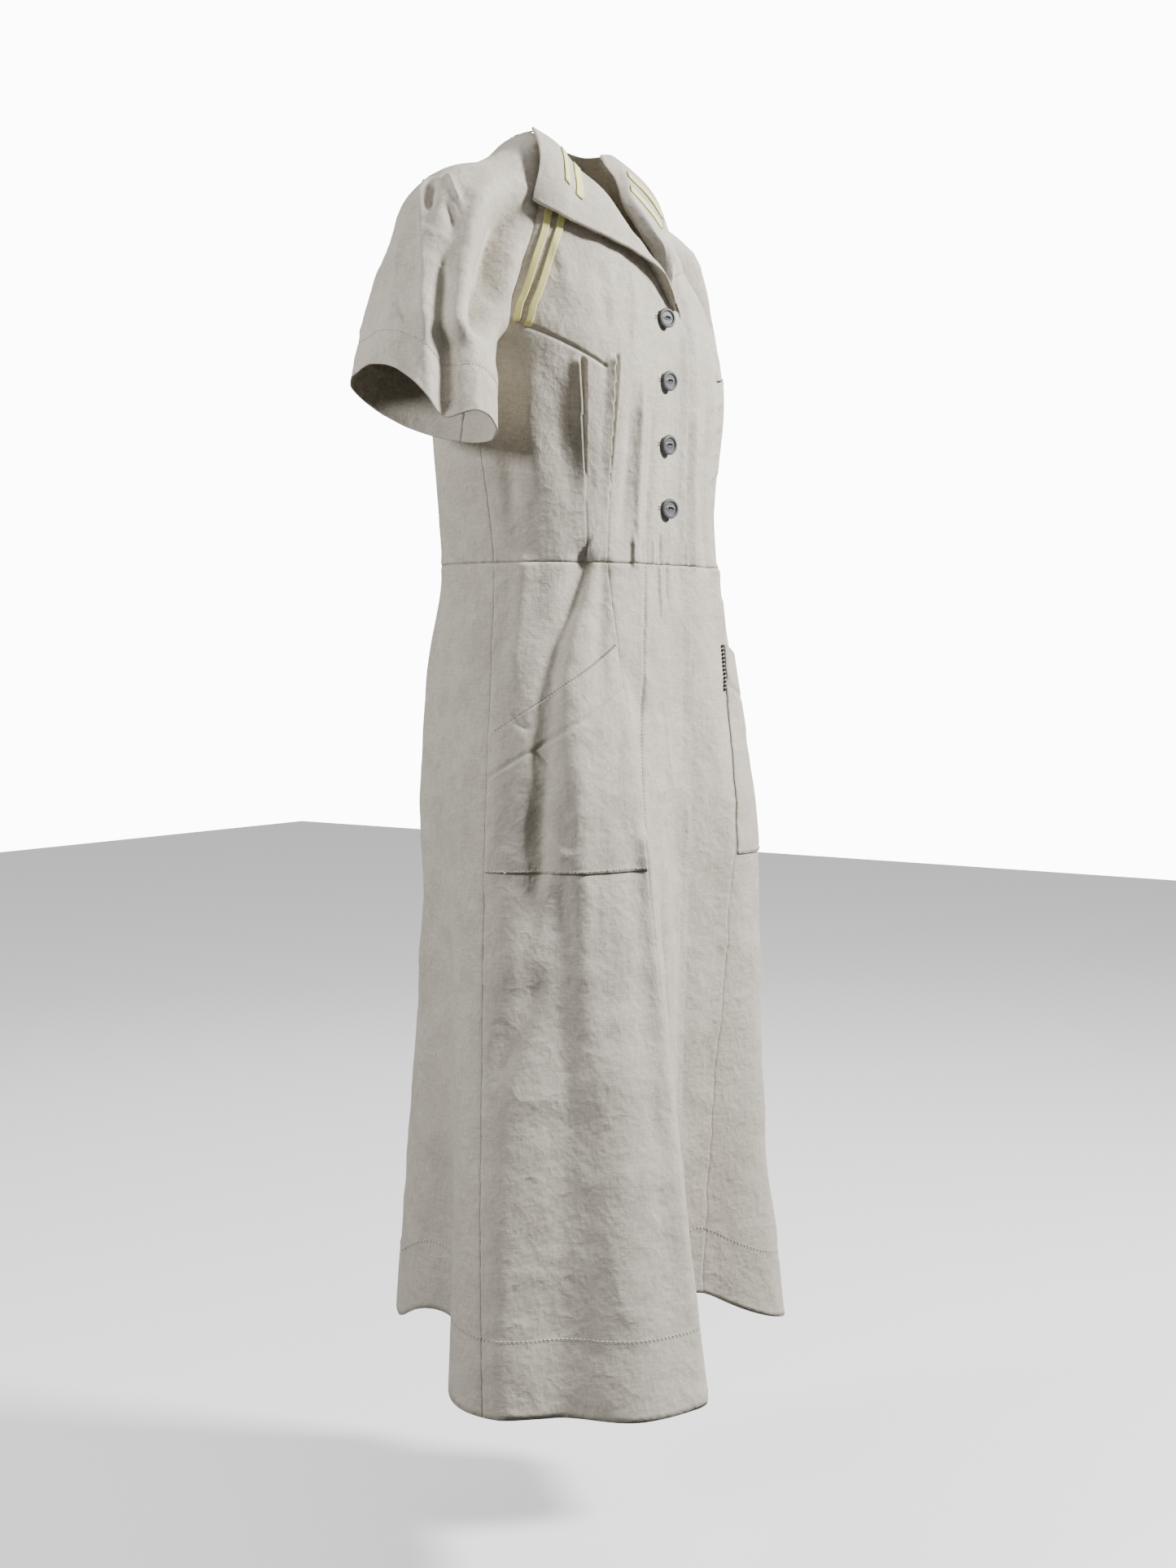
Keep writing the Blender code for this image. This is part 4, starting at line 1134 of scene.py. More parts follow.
def mesh_object(
    name: str, points: Array, faces: Sequence, material: bpy.types.Material
) -> bpy.types.Object:
    """A smooth-shaded mesh object from points and faces."""
    mesh = bpy.data.meshes.new(name)
    mesh.from_pydata(np.asarray(points).reshape(-1, 3).tolist(), [], faces)
    mesh.materials.append(material)
    mesh.shade_smooth()
    piece = bpy.data.objects.new(name, mesh)
    bpy.context.scene.collection.objects.link(piece)
    return piece


@dataclass
class Panel:
    """A shell of cloth from a grid of points on its outer face, rows running down.

    The columns go round toward the wearer's left.
    """

    name: str
    grid: Array
    material: bpy.types.Material
    nodes: tuple[str, ...] = ()
    thickness: float = CLOTH
    slot: str = "cloth"
    rolled: tuple[bool, bool, bool, bool] = (True, True, True, True)
    roll_depth: float = 0.0007
    roll_width: float = 0.0032

    def runs(self) -> tuple[Array, Array]:
        """How far each point lies along its row and down its column."""
        across = np.linalg.norm(np.diff(self.grid, axis=1), axis=-1)
        down = np.linalg.norm(np.diff(self.grid, axis=0), axis=-1)
        row = np.concatenate([np.zeros((len(self.grid), 1)), np.cumsum(across, axis=1)], axis=1)
        col = np.concatenate([np.zeros((1, self.grid.shape[1])), np.cumsum(down, axis=0)], axis=0)
        return row, col

    def normals(self) -> Array:
        """The outward direction at each point of the grid."""
        across = np.gradient(self.grid, axis=1)
        down = np.gradient(self.grid, axis=0)
        return unit(np.cross(down, across))

    def roll_edges(self) -> None:
        """Turn the panel's sewn edges in a little, as a pressed seam draws them."""
        row, col = self.runs()
        gaps = (row, row[:, -1:] - row, col, col[-1:] - col)
        depth = np.zeros_like(row)
        for gap, wanted in zip(gaps, self.rolled):
            if wanted:
                depth = np.maximum(depth, np.clip(1 - gap / self.roll_width, 0, 1) ** 2)
        self.grid = self.grid - self.normals() * (depth * self.roll_depth)[..., None]

    def make(self) -> bpy.types.Object:
        """Build the panel.

        Returns:
            The piece, riding on the root.
        """
        if any(self.rolled):
            self.roll_edges()
        rows, count = self.grid.shape[:2]
        index = np.arange(rows * count).reshape(rows, count)
        corners = (index[:-1, :-1], index[1:, :-1], index[1:, 1:], index[:-1, 1:])
        faces = np.stack(corners, axis=-1).reshape(-1, 4)
        piece = mesh_object(self.name, self.grid, faces.tolist(), self.material)
        row, col = self.runs()
        across = row - row.mean(axis=1, keepdims=True)
        places = np.stack([across, -col], axis=-1).reshape(-1, 2)
        layer = piece.data.uv_layers.new(name="cloth")
        loops = np.zeros(len(piece.data.loops), int)
        piece.data.loops.foreach_get("vertex_index", loops)
        layer.data.foreach_set("uv", places[loops].ravel())
        wall = piece.modifiers.new("wall", "SOLIDIFY")
        wall.thickness = self.thickness
        wall.offset = -1
        finish_piece(piece, self.nodes)
        self.slot == "cloth"
        return piece


@dataclass
class StitchRun:
    """Rows of stitches along paths of points."""

    name: str
    material: bpy.types.Material
    length: float = 0.0020
    gap: float = 0.0008
    width: float = 0.00045
    points: list[Array] = field(default_factory=list)
    faces: list[tuple[int, ...]] = field(default_factory=list)

    def add(self, path: Array, normals: Array, zigzag: float = 0.0) -> None:
        """Sew along a path.

        Args:
            path: Points of the seam line.
            normals: The cloth's outward direction at each.
            zigzag: How far the stitches swing to each side, in metres.
        """
        run = np.concatenate([[0], np.cumsum(np.linalg.norm(np.diff(path, axis=0), axis=1))])
        pitch = self.length + self.gap
        for number in range(int(run[-1] / pitch)):
            low = number * pitch
            ends = np.array([low, low + self.length])
            a, b = (np.array([np.interp(e, run, path[:, k]) for k in range(3)]) for e in ends)
            up = unit(np.array([np.interp(low, run, normals[:, k]) for k in range(3)]))
            side = unit(np.cross(b - a, up))
            if zigzag:
                swing = side * zigzag * (1 if number % 2 else -1)
                a, b = a - swing, b + swing
                side = unit(np.cross(b - a, up))
            first = sum(len(block) for block in self.points)
            middle = 0.5 * (a + b)
            half = 0.5 * self.width
            ways = (side * half, up * half * 1.2, -side * half, -up * half)
            ring = [middle + way for way in ways]
            self.points.append(np.array([a - up * half * 0.6, b - up * half * 0.6, *ring]))
            for k in range(4):
                here, there = first + 2 + k, first + 2 + (k + 1) % 4
                self.faces += [(first, here, there), (first + 1, there, here)]

    def make(self) -> bpy.types.Object:
        """Build the stitches as one piece."""
        piece = mesh_object(self.name, np.concatenate(self.points), self.faces, self.material)
        finish_piece(piece)
        return piece


@dataclass
class Bodice:
    """The bodice: two fronts that overlap and a back."""

    form: BodyForm
    finishes: Finishes

    def edges(self, name: str, first: float) -> tuple[Array, Array]:
        """Drops and outer angles of a panel's rows, along the raglan and then the side seam."""
        along = np.concatenate([np.linspace(first, 0.88, 50), np.linspace(0.88, 1.0, 24)[1:]])
        below = np.linspace(UNDERARM, 0.262, 17)[1:]
        lower = np.concatenate([below, np.linspace(0.262, WAIST - SEAM, 60)[1:]])
        drops = np.concatenate([raglan(name + "_drop", along), lower])
        angles = np.concatenate([raglan(name + "_angle", along), seam_angle("side", lower)])
        return drops, angles

    def inner(self, side: Side, drops: Array) -> Array:
        """The angle of a front's inner edge: the neckline, then the edge of the overlap."""
        neck = through(drops - NECK_LIP, column(ROLL, "drop"), side * column(ROLL, "angle"))
        opening = self.form.angle_at_x(OVERLAP_X if side is Side.RIGHT else UNDERLAP_X, drops)
        return neck + (opening - neck) * soft_step(drops, V_BOTTOM - 0.004, V_BOTTOM + 0.016)

    def front(self, side: Side) -> bpy.types.Object:
        """Build one front."""
        drops, outer = self.edges("front", 0.17)
        gap = np.degrees(SEAM / self.form.section(outer, drops))
        outer = side * (outer - gap)
        inner = self.inner(side, drops)
        share = shares(116) if side is Side.LEFT else shares(176)[::-1]
        angle = inner[:, None] + (outer - inner)[:, None] * share[None, :]
        drop = np.broadcast_to(drops[:, None], angle.shape)
        grid = self.form.point(angle, drop, layered(self.form, side, angle, drop))
        rolled = (side is Side.RIGHT, side is Side.LEFT, False, True)
        name = f"bodice_front_{side.word}"
        return Panel(name + "_cloth", grid, self.finishes.cloth, (name,), rolled=rolled).make()

    def back(self) -> bpy.types.Object:
        """Build the back."""
        drops, outer = self.edges("back", 0.0)
        outer = outer + np.degrees(SEAM / self.form.section(outer, drops))
        angle = outer[:, None] + (360 - 2 * outer)[:, None] * shares(136)[None, :]
        grid = self.form.point(angle, np.broadcast_to(drops[:, None], angle.shape))
        name, rolled = "bodice_back", (True, True, False, True)
        return Panel(name + "_cloth", grid, self.finishes.cloth, (name,), rolled=rolled).make()


@dataclass
class Skirt:
    """The skirt's five panels and its two pockets."""

    form: BodyForm
    finishes: Finishes

    def drop(self, level: float, share: Array, angle: Array) -> Array:
        """The drop of a level, at a share of the way from the princess to the side seam."""
        if level <= BOTTOM_LEVEL:
            stops = np.arange(len(LEVELS))
            near = np.interp(level, stops, column(LEVELS, "princess"))
            far = np.interp(level, stops, column(LEVELS, "side"))
            return np.maximum(near + share * (far - near), WAIST + SEAM)
        down = (level - BOTTOM_LEVEL) / (HEM_LEVEL - BOTTOM_LEVEL)
        return POCKET_BOTTOM + down * (hem_drop(angle) - POCKET_BOTTOM)

    def seam(self, side: Side, name: str, level: float) -> tuple[float, float]:
        """The angle and drop at which a level meets a seam."""
        share = 0.0 if name == "princess" else 1.0
        angle = np.array(side * 50.0)
        drop = np.array(WAIST)
        for _ in range(6):
            drop = self.drop(level, np.array(share), angle)
            angle = side * seam_angle(name, drop)
        return float(angle), float(drop)

    def gap(self, angle: float, drop: float) -> float:
        """The angle of half a seam's gap."""
        return float(np.degrees(SEAM / self.form.section(np.array(angle), np.array(drop))))

    def side_places(self, side: Side, levels: Array, share: Array) -> tuple[Array, Array]:
        """Angles and drops of the side front panel, or of what lies on it.

        Args:
            side: Which half of the dress.
            levels: The levels of its rows.
            share: The shares of its columns.

        Returns:
            The angles and the drops.
        """
        angles, drops = [], []
        for level in levels:
            inner, inner_drop = self.seam(side, "princess", level)
            outer, outer_drop = self.seam(side, "side", level)
            inner += side * self.gap(inner, inner_drop)
            outer -= side * self.gap(outer, outer_drop)
            angle = inner + (outer - inner) * share
            angles.append(angle)
            drops.append(self.drop(level, share, angle))
        return np.array(angles), np.array(drops)

    def side_front(self, side: Side) -> bpy.types.Object:
        """Build the panel between the princess and side seams."""
        share = shares(92 if side is Side.RIGHT else 76)
        angle, drop = self.side_places(side, np.linspace(0, HEM_LEVEL, 196), share)
        grid = self.form.point(angle, drop)
        grid = grid if side is Side.LEFT else grid[:, ::-1]
        name = f"skirt_side_front_{side.word}"
        rolled = (True, True, True, False)
        return Panel(name + "_cloth", grid, self.finishes.cloth, (name,), rolled=rolled).make()

    def centre_front(self, side: Side) -> bpy.types.Object:
        """Build the panel from the edge of the opening to the princess seam."""
        edge_x = OVERLAP_X if side is Side.RIGHT else UNDERLAP_X
        rows = []
        for level in np.linspace(0, HEM_LEVEL, 200):
            outer, drop = self.seam(side, "princess", level)
            outer -= side * self.gap(outer, drop)
            inner = float(self.form.angle_at_x(edge_x, np.array(drop)))
            angle = inner + (outer - inner) * shares(88)
            level_drop = self.drop(level, np.zeros_like(angle), angle)
            out = layered(self.form, side, angle, level_drop)
            rows.append(self.form.point(angle, level_drop, out))
        grid = np.array(rows)
        grid = grid if side is Side.LEFT else grid[:, ::-1]
        name = f"skirt_front_{side.word}"
        rolled = (side is Side.RIGHT, side is Side.LEFT, True, False)
        return Panel(name + "_cloth", grid, self.finishes.cloth, (name,), rolled=rolled).make()

    def back(self) -> bpy.types.Object:
        """Build the back."""
        rows = []
        for level in np.linspace(0, HEM_LEVEL, 150):
            right, drop = self.seam(Side.RIGHT, "side", level)
            left, _ = self.seam(Side.LEFT, "side", level)
            gap = self.gap(right, drop)
            angle = left + gap + (360 + right - left - 2 * gap) * shares(166, 0.006)
            rows.append(self.form.point(angle, self.drop(level, np.ones_like(angle), angle)))
        name, grid, rolled = "skirt_back", np.array(rows), (True, True, True, False)
        return Panel(name + "_cloth", grid, self.finishes.cloth, (name,), rolled=rolled).make()

    def pocket(self, side: Side) -> bpy.types.Object:
        """Build a pocket, which stands a little open along its slanted mouth."""
        share = np.linspace(0.006, 0.994, 90)
        levels = np.linspace(MOUTH_LEVEL, BOTTOM_LEVEL, 84)
        angle, drop = self.side_places(side, levels, share)
        down = 1 - np.linspace(0, 1, len(levels)) ** 2
        stand = POCKET_STAND * down[:, None] * pocket_swell(share)[None, :]
        welt = -0.0018 * bell(levels, WELT_LEVEL, 0.06)[:, None]
        grid = self.form.point(angle, drop, POCKET_SEAT + stand + welt)
        grid = grid if side is Side.LEFT else grid[:, ::-1]
        name = f"pocket_{side.word}"
        rolled = (True, True, False, False)
        cloth = self.finishes.cloth
        return Panel(
            name + "_cloth", grid, cloth, (name,), rolled=rolled, roll_depth=SOFT_ROLL
        ).make()


@dataclass
class Sleeves:
    """The two raglan sleeves."""

    form: BodyForm
    finishes: Finishes
    columns: int = 132

    def row(self, along: float, side: Side) -> Array:
        """One row of the wearer's left sleeve's form, from the front seam over the top."""
        table = np.array(SLEEVE, float)
        row = SleeveRow(along, *through(along, table[:, 0], table[:, 1:]))
        wrap = np.clip(row.wrap, 0, 90)
        degrees = np.linspace(-wrap, 180 + wrap, self.columns + 1)
        turned = np.radians(degrees)
        middle = np.array([row.mid_x, row.mid_y, row.mid_z])
        up = np.array([row.top_x, row.top_y, row.top_z]) - middle
        reach = np.where(np.cos(turned) > 0, row.front, row.back)
        folded = np.zeros_like(turned)
        for fold in SLEEVE_FOLDS:
            grown = soft_step(along, fold.start, fold.start + 0.25)
            grown = grown * (1 - soft_step(along, fold.end - 0.25, fold.end))
            folded = folded + fold.depth * grown * bell(degrees, fold.angle, fold.spread)
        noise = self.form.relief
        down = np.full_like(degrees, np.interp(along, SLEEVE_STOPS, SLEEVE_RUN))
        u = degrees * SLEEVE_SCALE
        worn = soft_step(along, 0.15, 0.5)
        folded = folded + noise.creased(u + 5.0 + side, down, 0.038) * 0.0013 * worn
        folded = folded + noise.at(u + 2.0 + side, down * 0.8, 0.013) * 0.0004 * worn
        rippled = noise.at(u + side, down * 0 + 0.7, 0.009) * 0.0006
        folded = folded + rippled * bell(down, 0.313, 0.005)
        share = 1.0 if side is Side.RIGHT else 0.8
        for crease in SLEEVE_CREASES:
            folded = folded + share * crease.lift(u, down, SLEEVE_SCALE)
        points = middle + np.outer(np.sin(turned), up)
        points = points + np.outer(folded * np.sin(turned), unit(up))
        points[:, 1] -= (reach + folded) * np.cos(turned)
        points[:, 2] -= SLEEVE_DROOP * soft_step(along, 0.6, 2.0) * np.cos(turned)
        dip = SLEEVE_DIP * soft_step(along, 1.0, 2.0)
        points[:, 2] -= dip * bell(degrees, *SLEEVE_DIP_PLACE)
        if side is Side.LEFT:
            lean = soft_step(along, 0.45, 1.9)
            points = points + lean * np.array([-0.022, 0.046, 0.0])
            points = points + bell(np.array(along), 0.15, 0.25) * np.array([-0.008, 0.004, -0.006])
            middle_y = middle[1] + lean * 0.046
            points[:, 1] = middle_y + (points[:, 1] - middle_y) * (1 - lean * 0.14)
        return points

    def seam(self, name: str, along: float, side: Side) -> Array:
        """A point of the front or back raglan seam, on the wearer's left."""
        angle, drop = raglan(name + "_angle", along), raglan(name + "_drop", along)
        return self.form.point(side * angle, drop) * np.array([side, 1.0, 1.0])

    def grid(self, side: Side) -> Array:
        """The points of a sleeve, its ends held to the seams, closed below the underarm."""
        share = np.linspace(0, 1, self.columns + 1)
        hold = (1 - soft_step(share, 0, 0.20))[:, None]
        hold_back = (1 - soft_step(1 - share, 0, 0.20))[:, None]
        rows = []
        for along in np.linspace(0, 1, RAGLAN_ROWS):
            points = self.row(along, side)
            points = points + hold * (self.seam("front", along, side) - points[0])
            points = points + hold_back * (self.seam("back", along, side) - points[-1])
            neck = 1 - soft_step(along, 0.0, 0.07)
            first, last = RAGLAN[0].front_angle, RAGLAN[0].back_angle
            angle = first + (last - first) * share
            ring = self.form.point(side * angle, RAGLAN[0].front_drop) * np.array([side, 1, 1])
            rows.append(points + neck * (ring - points))
        shift = self.seam("front", 1.0, side) - self.row(1.0, side)[0]
        for along in LOWER_SLEEVE:
            fade = 1 - soft_step(along, 1.0, 1.6)
            rows.append(self.row(along, side) + fade * np.maximum(hold, hold_back) * shift)
        grid = np.array(rows)
        fade = 1 - soft_step(np.arange(len(grid)), RAGLAN_ROWS - 12, RAGLAN_ROWS)
        under = SEAM - RAGLAN_TURNED * fade[:, None]
        for edge, inner in ((0, 1), (-1, -2)):
            grid[:, edge] += under * unit(grid[:, inner] - grid[:, edge])
        return (grid * np.array([-1.0, 1.0, 1.0]))[:, ::-1] if side is Side.RIGHT else grid

    def make(self, side: Side) -> bpy.types.Object:
        """Build a sleeve."""
        name, grid, cloth = f"sleeve_{side.word}", self.grid(side), self.finishes.cloth
        rolled = (True, True, False, False)
        return Panel(
            name + "_cloth", grid, cloth, (name,), rolled=rolled, roll_depth=SOFT_ROLL
        ).make()

    def hem_stitches(self) -> bpy.types.Object:
        """Build the stitching of both sleeves' hems."""
        run = StitchRun("sleeve_hem_stitches", self.finishes.pale_thread, 0.0030, 0.0006, 0.0010)
        for side in Side:
            grid = self.grid(side)
            normals = Panel("line", grid, self.finishes.cloth).normals()
            row = len(grid) - len(LOWER_SLEEVE) + int(np.argmin(np.abs(LOWER_SLEEVE - SLEEVE_HEM)))
            run.add(grid[row] + 0.0005 * normals[row], normals[row])
        return run.make()


@dataclass
class Collar:
    """The front collar, the back neck stand and the collar's stripes."""

    form: BodyForm
    finishes: Finishes
    tapes: tuple[float, float] = (0.185, 0.285)
    length: float = 0.215

    def point(self, side: Side, along: Array, across: Array, out: float = 0.0) -> Array:
        """Points of the collar's upper face, from the roll line (0) to its edge (1)."""
        angle, drop = edge_at(ROLL, along)
        under = underlap(self.form, side, side * angle, drop)
        roll = self.form.point(side * angle, drop, 0.0034 + under)
        angle, drop = edge_at(COLLAR_EDGE, along)
        side_share = 0.5 if side is Side.LEFT else 1.0
        near_end = soft_step(along, 0.0, 0.9)
        stand = side_share * 0.0135 * (1 - near_end) + 0.0050 * near_end
        stand = stand + side_share * 0.0085 * bell(along, 0.72, 0.20)
        wave = self.form.relief.at(along * self.length + side, along * 0 + 0.6, 0.011)
        stand = stand + 0.0007 * wave * across
        drop = drop + 0.0011 * wave
        under = underlap(self.form, side, side * angle, drop)
        edge = self.form.point(side * angle, drop, stand + under)
        points = roll + (edge - roll) * across[:, None]
        place, way_down = along * self.length + 3.0 + side, across * 0.07
        drawn = self.form.relief.at(place + way_down * 0.9, way_down * 0.3, 0.014)
        drawn = drawn * 0.0010 * np.sin(np.pi * across)
        points = points + np.outer(drawn, (0.0, -1.0, 0.3))
        past_side = soft_step(along, 0.0, 0.35)
        bulge = 0.0145 * (1 - past_side) + 0.0025 * past_side
        way = np.array([0.30 * side, -0.85, 0.43])
        return points + np.outer(bulge * np.sin(np.pi * across) + out, way)

    def half(self, side: Side) -> bpy.types.Object:
        """Build half of the collar, folded over its roll line and open at its free side."""
        end = 1.0 if side is Side.RIGHT else 0.85
        along = np.linspace(0.0, end, 130)
        keys = []
        for lip in (0.012, 0.004):
            angle, drop = edge_at(ROLL, along)
            inset = 0.0058 + 0.0085 * (1 - soft_step(along, 0.0, 0.3))
            out = underlap(self.form, side, side * angle, drop) - inset
            inside = self.form.point(side * angle, drop, out)
            lowered = lip * soft_step(along, -0.25, 0.25) * (1 - 0.5 * soft_step(along, 0.7, 1.0))
            inside[:, 2] -= lowered
            keys.append(inside)
        across_keys = np.array([0.0, 0.08, 0.18, 0.30, 0.45, 0.60, 0.75, 0.90, 1.0])
        keys += [self.point(side, along, np.full_like(along, across)) for across in across_keys]
        stops = np.concatenate([[-0.45, -0.15], across_keys])
        rows = np.concatenate([np.linspace(-0.45, 0.1, 16), np.linspace(0.1, 1.0, 34)[1:]])
        grid = through(rows, stops, np.array(keys).reshape(len(keys), -1)).reshape(len(rows), -1, 3)
        grid = grid if side is Side.RIGHT else grid[:, ::-1]
        name, cloth = f"collar_{side.word}", self.finishes.collar
        return Panel(name + "_cloth", grid, cloth, (name,), COLLAR_CLOTH, rolled=UNROLLED).make()

    def stripe(self, side: Side, number: int) -> bpy.types.Object:
        """Build a tape across the collar, from its roll line down."""
        half = 0.5 * COLLAR_TAPE_WIDTH / self.length
        across = np.linspace(0.0, 0.60, 40)
        lines = []
        for along in np.linspace(self.tapes[number] - half, self.tapes[number] + half, 8):
            lines.append(self.point(side, np.full_like(across, along), across, TAPE + 0.0006))
        grid = np.array(lines).transpose(1, 0, 2)
        grid = grid if side is Side.RIGHT else grid[:, ::-1]
        name = f"collar_stripe_{('outer', 'inner')[number]}_{side.word}"
        tape = self.finishes.tape
        return Panel(name + "_tape", grid, tape, (name,), TAPE, "tape", UNROLLED).make()

    def end_stitches(self) -> bpy.types.Object:
        """Build the zigzag across the ends of the collar's stripes."""
        run = StitchRun("collar_stitches", self.finishes.thread, 0.0013, 0.0002, 0.0005)
        for side in Side:
            along = np.linspace(self.tapes[0] - 0.02, self.tapes[1] + 0.03, 30)
            path = self.point(side, along, np.full_like(along, 0.59), TAPE + 0.0011)
            run.add(path, np.tile((0.0, -1.0, 0.3), (len(path), 1)), 0.0012)
        return run.make()

    def stand(self) -> bpy.types.Object:
        """Build the narrow stand round the back of the neck."""
        angle = np.linspace(STAND_ANGLE, 360.0 - STAND_ANGLE, 120)
        base = self.form.point(angle, STAND_BASE)
        rise = soft_step(np.sin(np.pi * np.linspace(0, 1, len(angle))), 0.3, 1.0)
        level = 0.006 - 0.011 * rise
        rows = []
        for share in np.linspace(1, 0, 14):
            row = self.form.point(angle, STAND_BASE, -0.0005 - STAND_LEAN * share**1.5)
            row[:, 2] = base[:, 2] + share * (-level - base[:, 2])
            rows.append(row)
        name, grid = "neck_stand", np.array(rows)
        return Panel(name + "_cloth", grid, self.finishes.collar, (name,), rolled=UNROLLED).make()


@dataclass
class Trim:
    """The body's tape stripes, the stitching, the painted shadow and highlight lines, the buttons
    and the buttonholes.
    """

    form: BodyForm
    skirt: Skirt
    finishes: Finishes

    def stripe_angle(self, side: Side, drop: Array, distance: float) -> Array:
        """The angle at a distance from the front raglan seam."""
        seam = through(drop, column(RAGLAN, "front_drop"), column(RAGLAN, "front_angle"))
        return side * (seam - np.degrees(distance / self.form.section(seam, drop)))

    def stripe(self, side: Side, number: int) -> bpy.types.Object:
        """Build a tape on the front, beside the raglan seam."""
        drop = np.linspace(TAPE_TOP, TAPE_ENDS[number], 90)
        lines = []
        for share in np.linspace(0.5, -0.5, 9):
            angle = self.stripe_angle(side, drop, TAPE_MIDDLES[number] + share * TAPE_WIDTH)
            lines.append(self.form.point(angle, drop, TAPE + 0.0003))
        grid = np.array(lines).transpose(1, 0, 2)
        grid = grid if side is Side.RIGHT else grid[:, ::-1]
        name = f"body_stripe_{('outer', 'inner')[number]}_{side.word}"
        tape = self.finishes.tape
        return Panel(name + "_tape", grid, tape, (name,), TAPE, "tape", UNROLLED).make()

    def sew(
        self,
        run: StitchRun,
        angle: Array,
        drop: Array,
        out: Array | float = 0.0002,
        zigzag: float = 0.0,
    ) -> None:
        """Sew along a line of places on the body."""
        run.add(self.form.point(angle, drop, out), self.form.normal(angle, drop), zigzag)

    def level_places(self, side: Side, level: float, share: Array) -> tuple[Array, Array]:
        """The angles and drops of one level of a side front, at shares of the way across."""
        angle, drop = self.skirt.side_places(side, np.array([level]), share)
        return angle[0], drop[0]

    def tape_stitches(self) -> bpy.types.Object:
        """Build the stitching along the edges of the body's stripes."""
        run = StitchRun("stripe_stitches", self.finishes.tape, 0.0016, 0.0008, 0.0003)
        for side in Side:
            for middle, end in zip(TAPE_MIDDLES, TAPE_ENDS):
                drop = np.linspace(TAPE_TOP + 0.001, end - 0.001, 60)
                for edge in (-0.0027, 0.0027):
                    self.sew(run, self.stripe_angle(side, drop, middle + edge), drop, TAPE + 0.0003)
        return run.make()

    def seam_stitches(self) -> bpy.types.Object:
        """Build the greige stitching of the tucks and of the pockets' welts."""
        run = StitchRun("seam_stitches", self.finishes.thread)
        for side in Side:
            for tuck in TUCKS:
                drop = np.linspace(tuck.closed_drop - 0.005, WAIST - 0.001, 20)
                share = (drop - tuck.open_drop) / (WAIST - tuck.open_drop)
                fold = tuck.top_angle + share * (tuck.waist_angle - tuck.top_angle)
                self.sew(run, side * (fold + 0.8), drop)
            share = np.linspace(0.01, 0.99, 60)
            angle, drop = self.level_places(side, WELT_LEVEL, share)
            down = (WELT_LEVEL - MOUTH_LEVEL) / (BOTTOM_LEVEL - MOUTH_LEVEL)
            stand = POCKET_STAND * (1 - down**2) * pocket_swell(share)
            self.sew(run, angle, drop, POCKET_SEAT + stand - 0.0008)
        return run.make()

    def dark_lines(self) -> bpy.types.Object:
        """Build painted shadow lines along the overlap's edge, the band, the pockets' mouths and
        the slashes.
        """
        # Near-black strips painted as the shade cast by these edges and grooves
        run = StitchRun("dark_seam_lines", self.finishes.hole, 0.0031, 0.0005, 0.0006)
        edge = self.form.angle_at_x(OVERLAP_X + 0.0004, OPENING_DROPS)
        self.sew(run, edge, OPENING_DROPS, 0.0020)
        drop = np.linspace(BAND[0][1], BAND[-1][1], 90)
        self.sew(run, np.interp(drop, *np.array(BAND).T[::-1]), drop, 0.0009)
        for side in Side:
            mouth = self.level_places(side, MOUTH_LEVEL - 0.04, np.linspace(0.03, 0.97, 60))
            self.sew(run, *mouth, 0.0008)
            share = np.linspace(0, 1, 60)
            angle, drop = (np.interp(share, SLASH_STOPS, values) for values in zip(*SLASH))
            self.sew(run, side * angle, drop, 0.0)
        return run.make()

    def gape(self) -> bpy.types.Object:
        """Build a painted shadow where the left pocket gapes at its upper inner corner."""
        # A near-black strip painted as the shade inside the gape
        run = StitchRun("pocket_gape", self.finishes.hole, 0.0040, 0.0, 0.0042)
        drop = np.linspace(0.512, 0.560, 20)
        self.sew(run, seam_angle("princess", drop) - 1.0, drop, 0.0016)
        return run.make()

    def pale_stitches(self) -> bpy.types.Object:
        """Build the whitish stitching of the hem and the pockets' bottoms, and painted highlights
        along the overlap's edge and the pockets' mouths.
        """
        run = StitchRun("pale_stitches", self.finishes.pale_thread, 0.0034, 0.0006, 0.0011)
        self.sew(run, ALL_ROUND, hem_drop(ALL_ROUND) - HEM_DEPTH, 0.0004)
        run.width = 0.0008
        # Painted highlight along the overlap's edge, where its fold catches light
        edge = self.form.angle_at_x(OVERLAP_X - 0.0010, OPENING_DROPS)
        self.sew(run, edge, OPENING_DROPS, 0.0024)
        share = np.linspace(0.01, 0.99, 60)
        for side in Side:
            # Painted highlight along each pocket's mouth, where its top edge catches light
            height = POCKET_SEAT + 0.0002 + POCKET_STAND * pocket_swell(share)
            self.sew(run, *self.level_places(side, MOUTH_LEVEL + 0.02, share), height)
            run.length = 0.0026
            bottom = self.level_places(side, BOTTOM_LEVEL - 0.05, share)
            self.sew(run, *bottom, POCKET_SEAT + 0.0008, 0.0008)
        return run.make()

    def hem_shade(self) -> bpy.types.Object:
        """Build a painted shade line where the hem's fold ends under its stitching."""
        # The greige thread's colour serves here as painted shade
        run = StitchRun("hem_shade", self.finishes.thread, 0.0034, 0.0006, 0.0011)
        self.sew(run, ALL_ROUND, hem_drop(ALL_ROUND) - HEM_DEPTH + 0.0018, 0.0)
        return run.make()

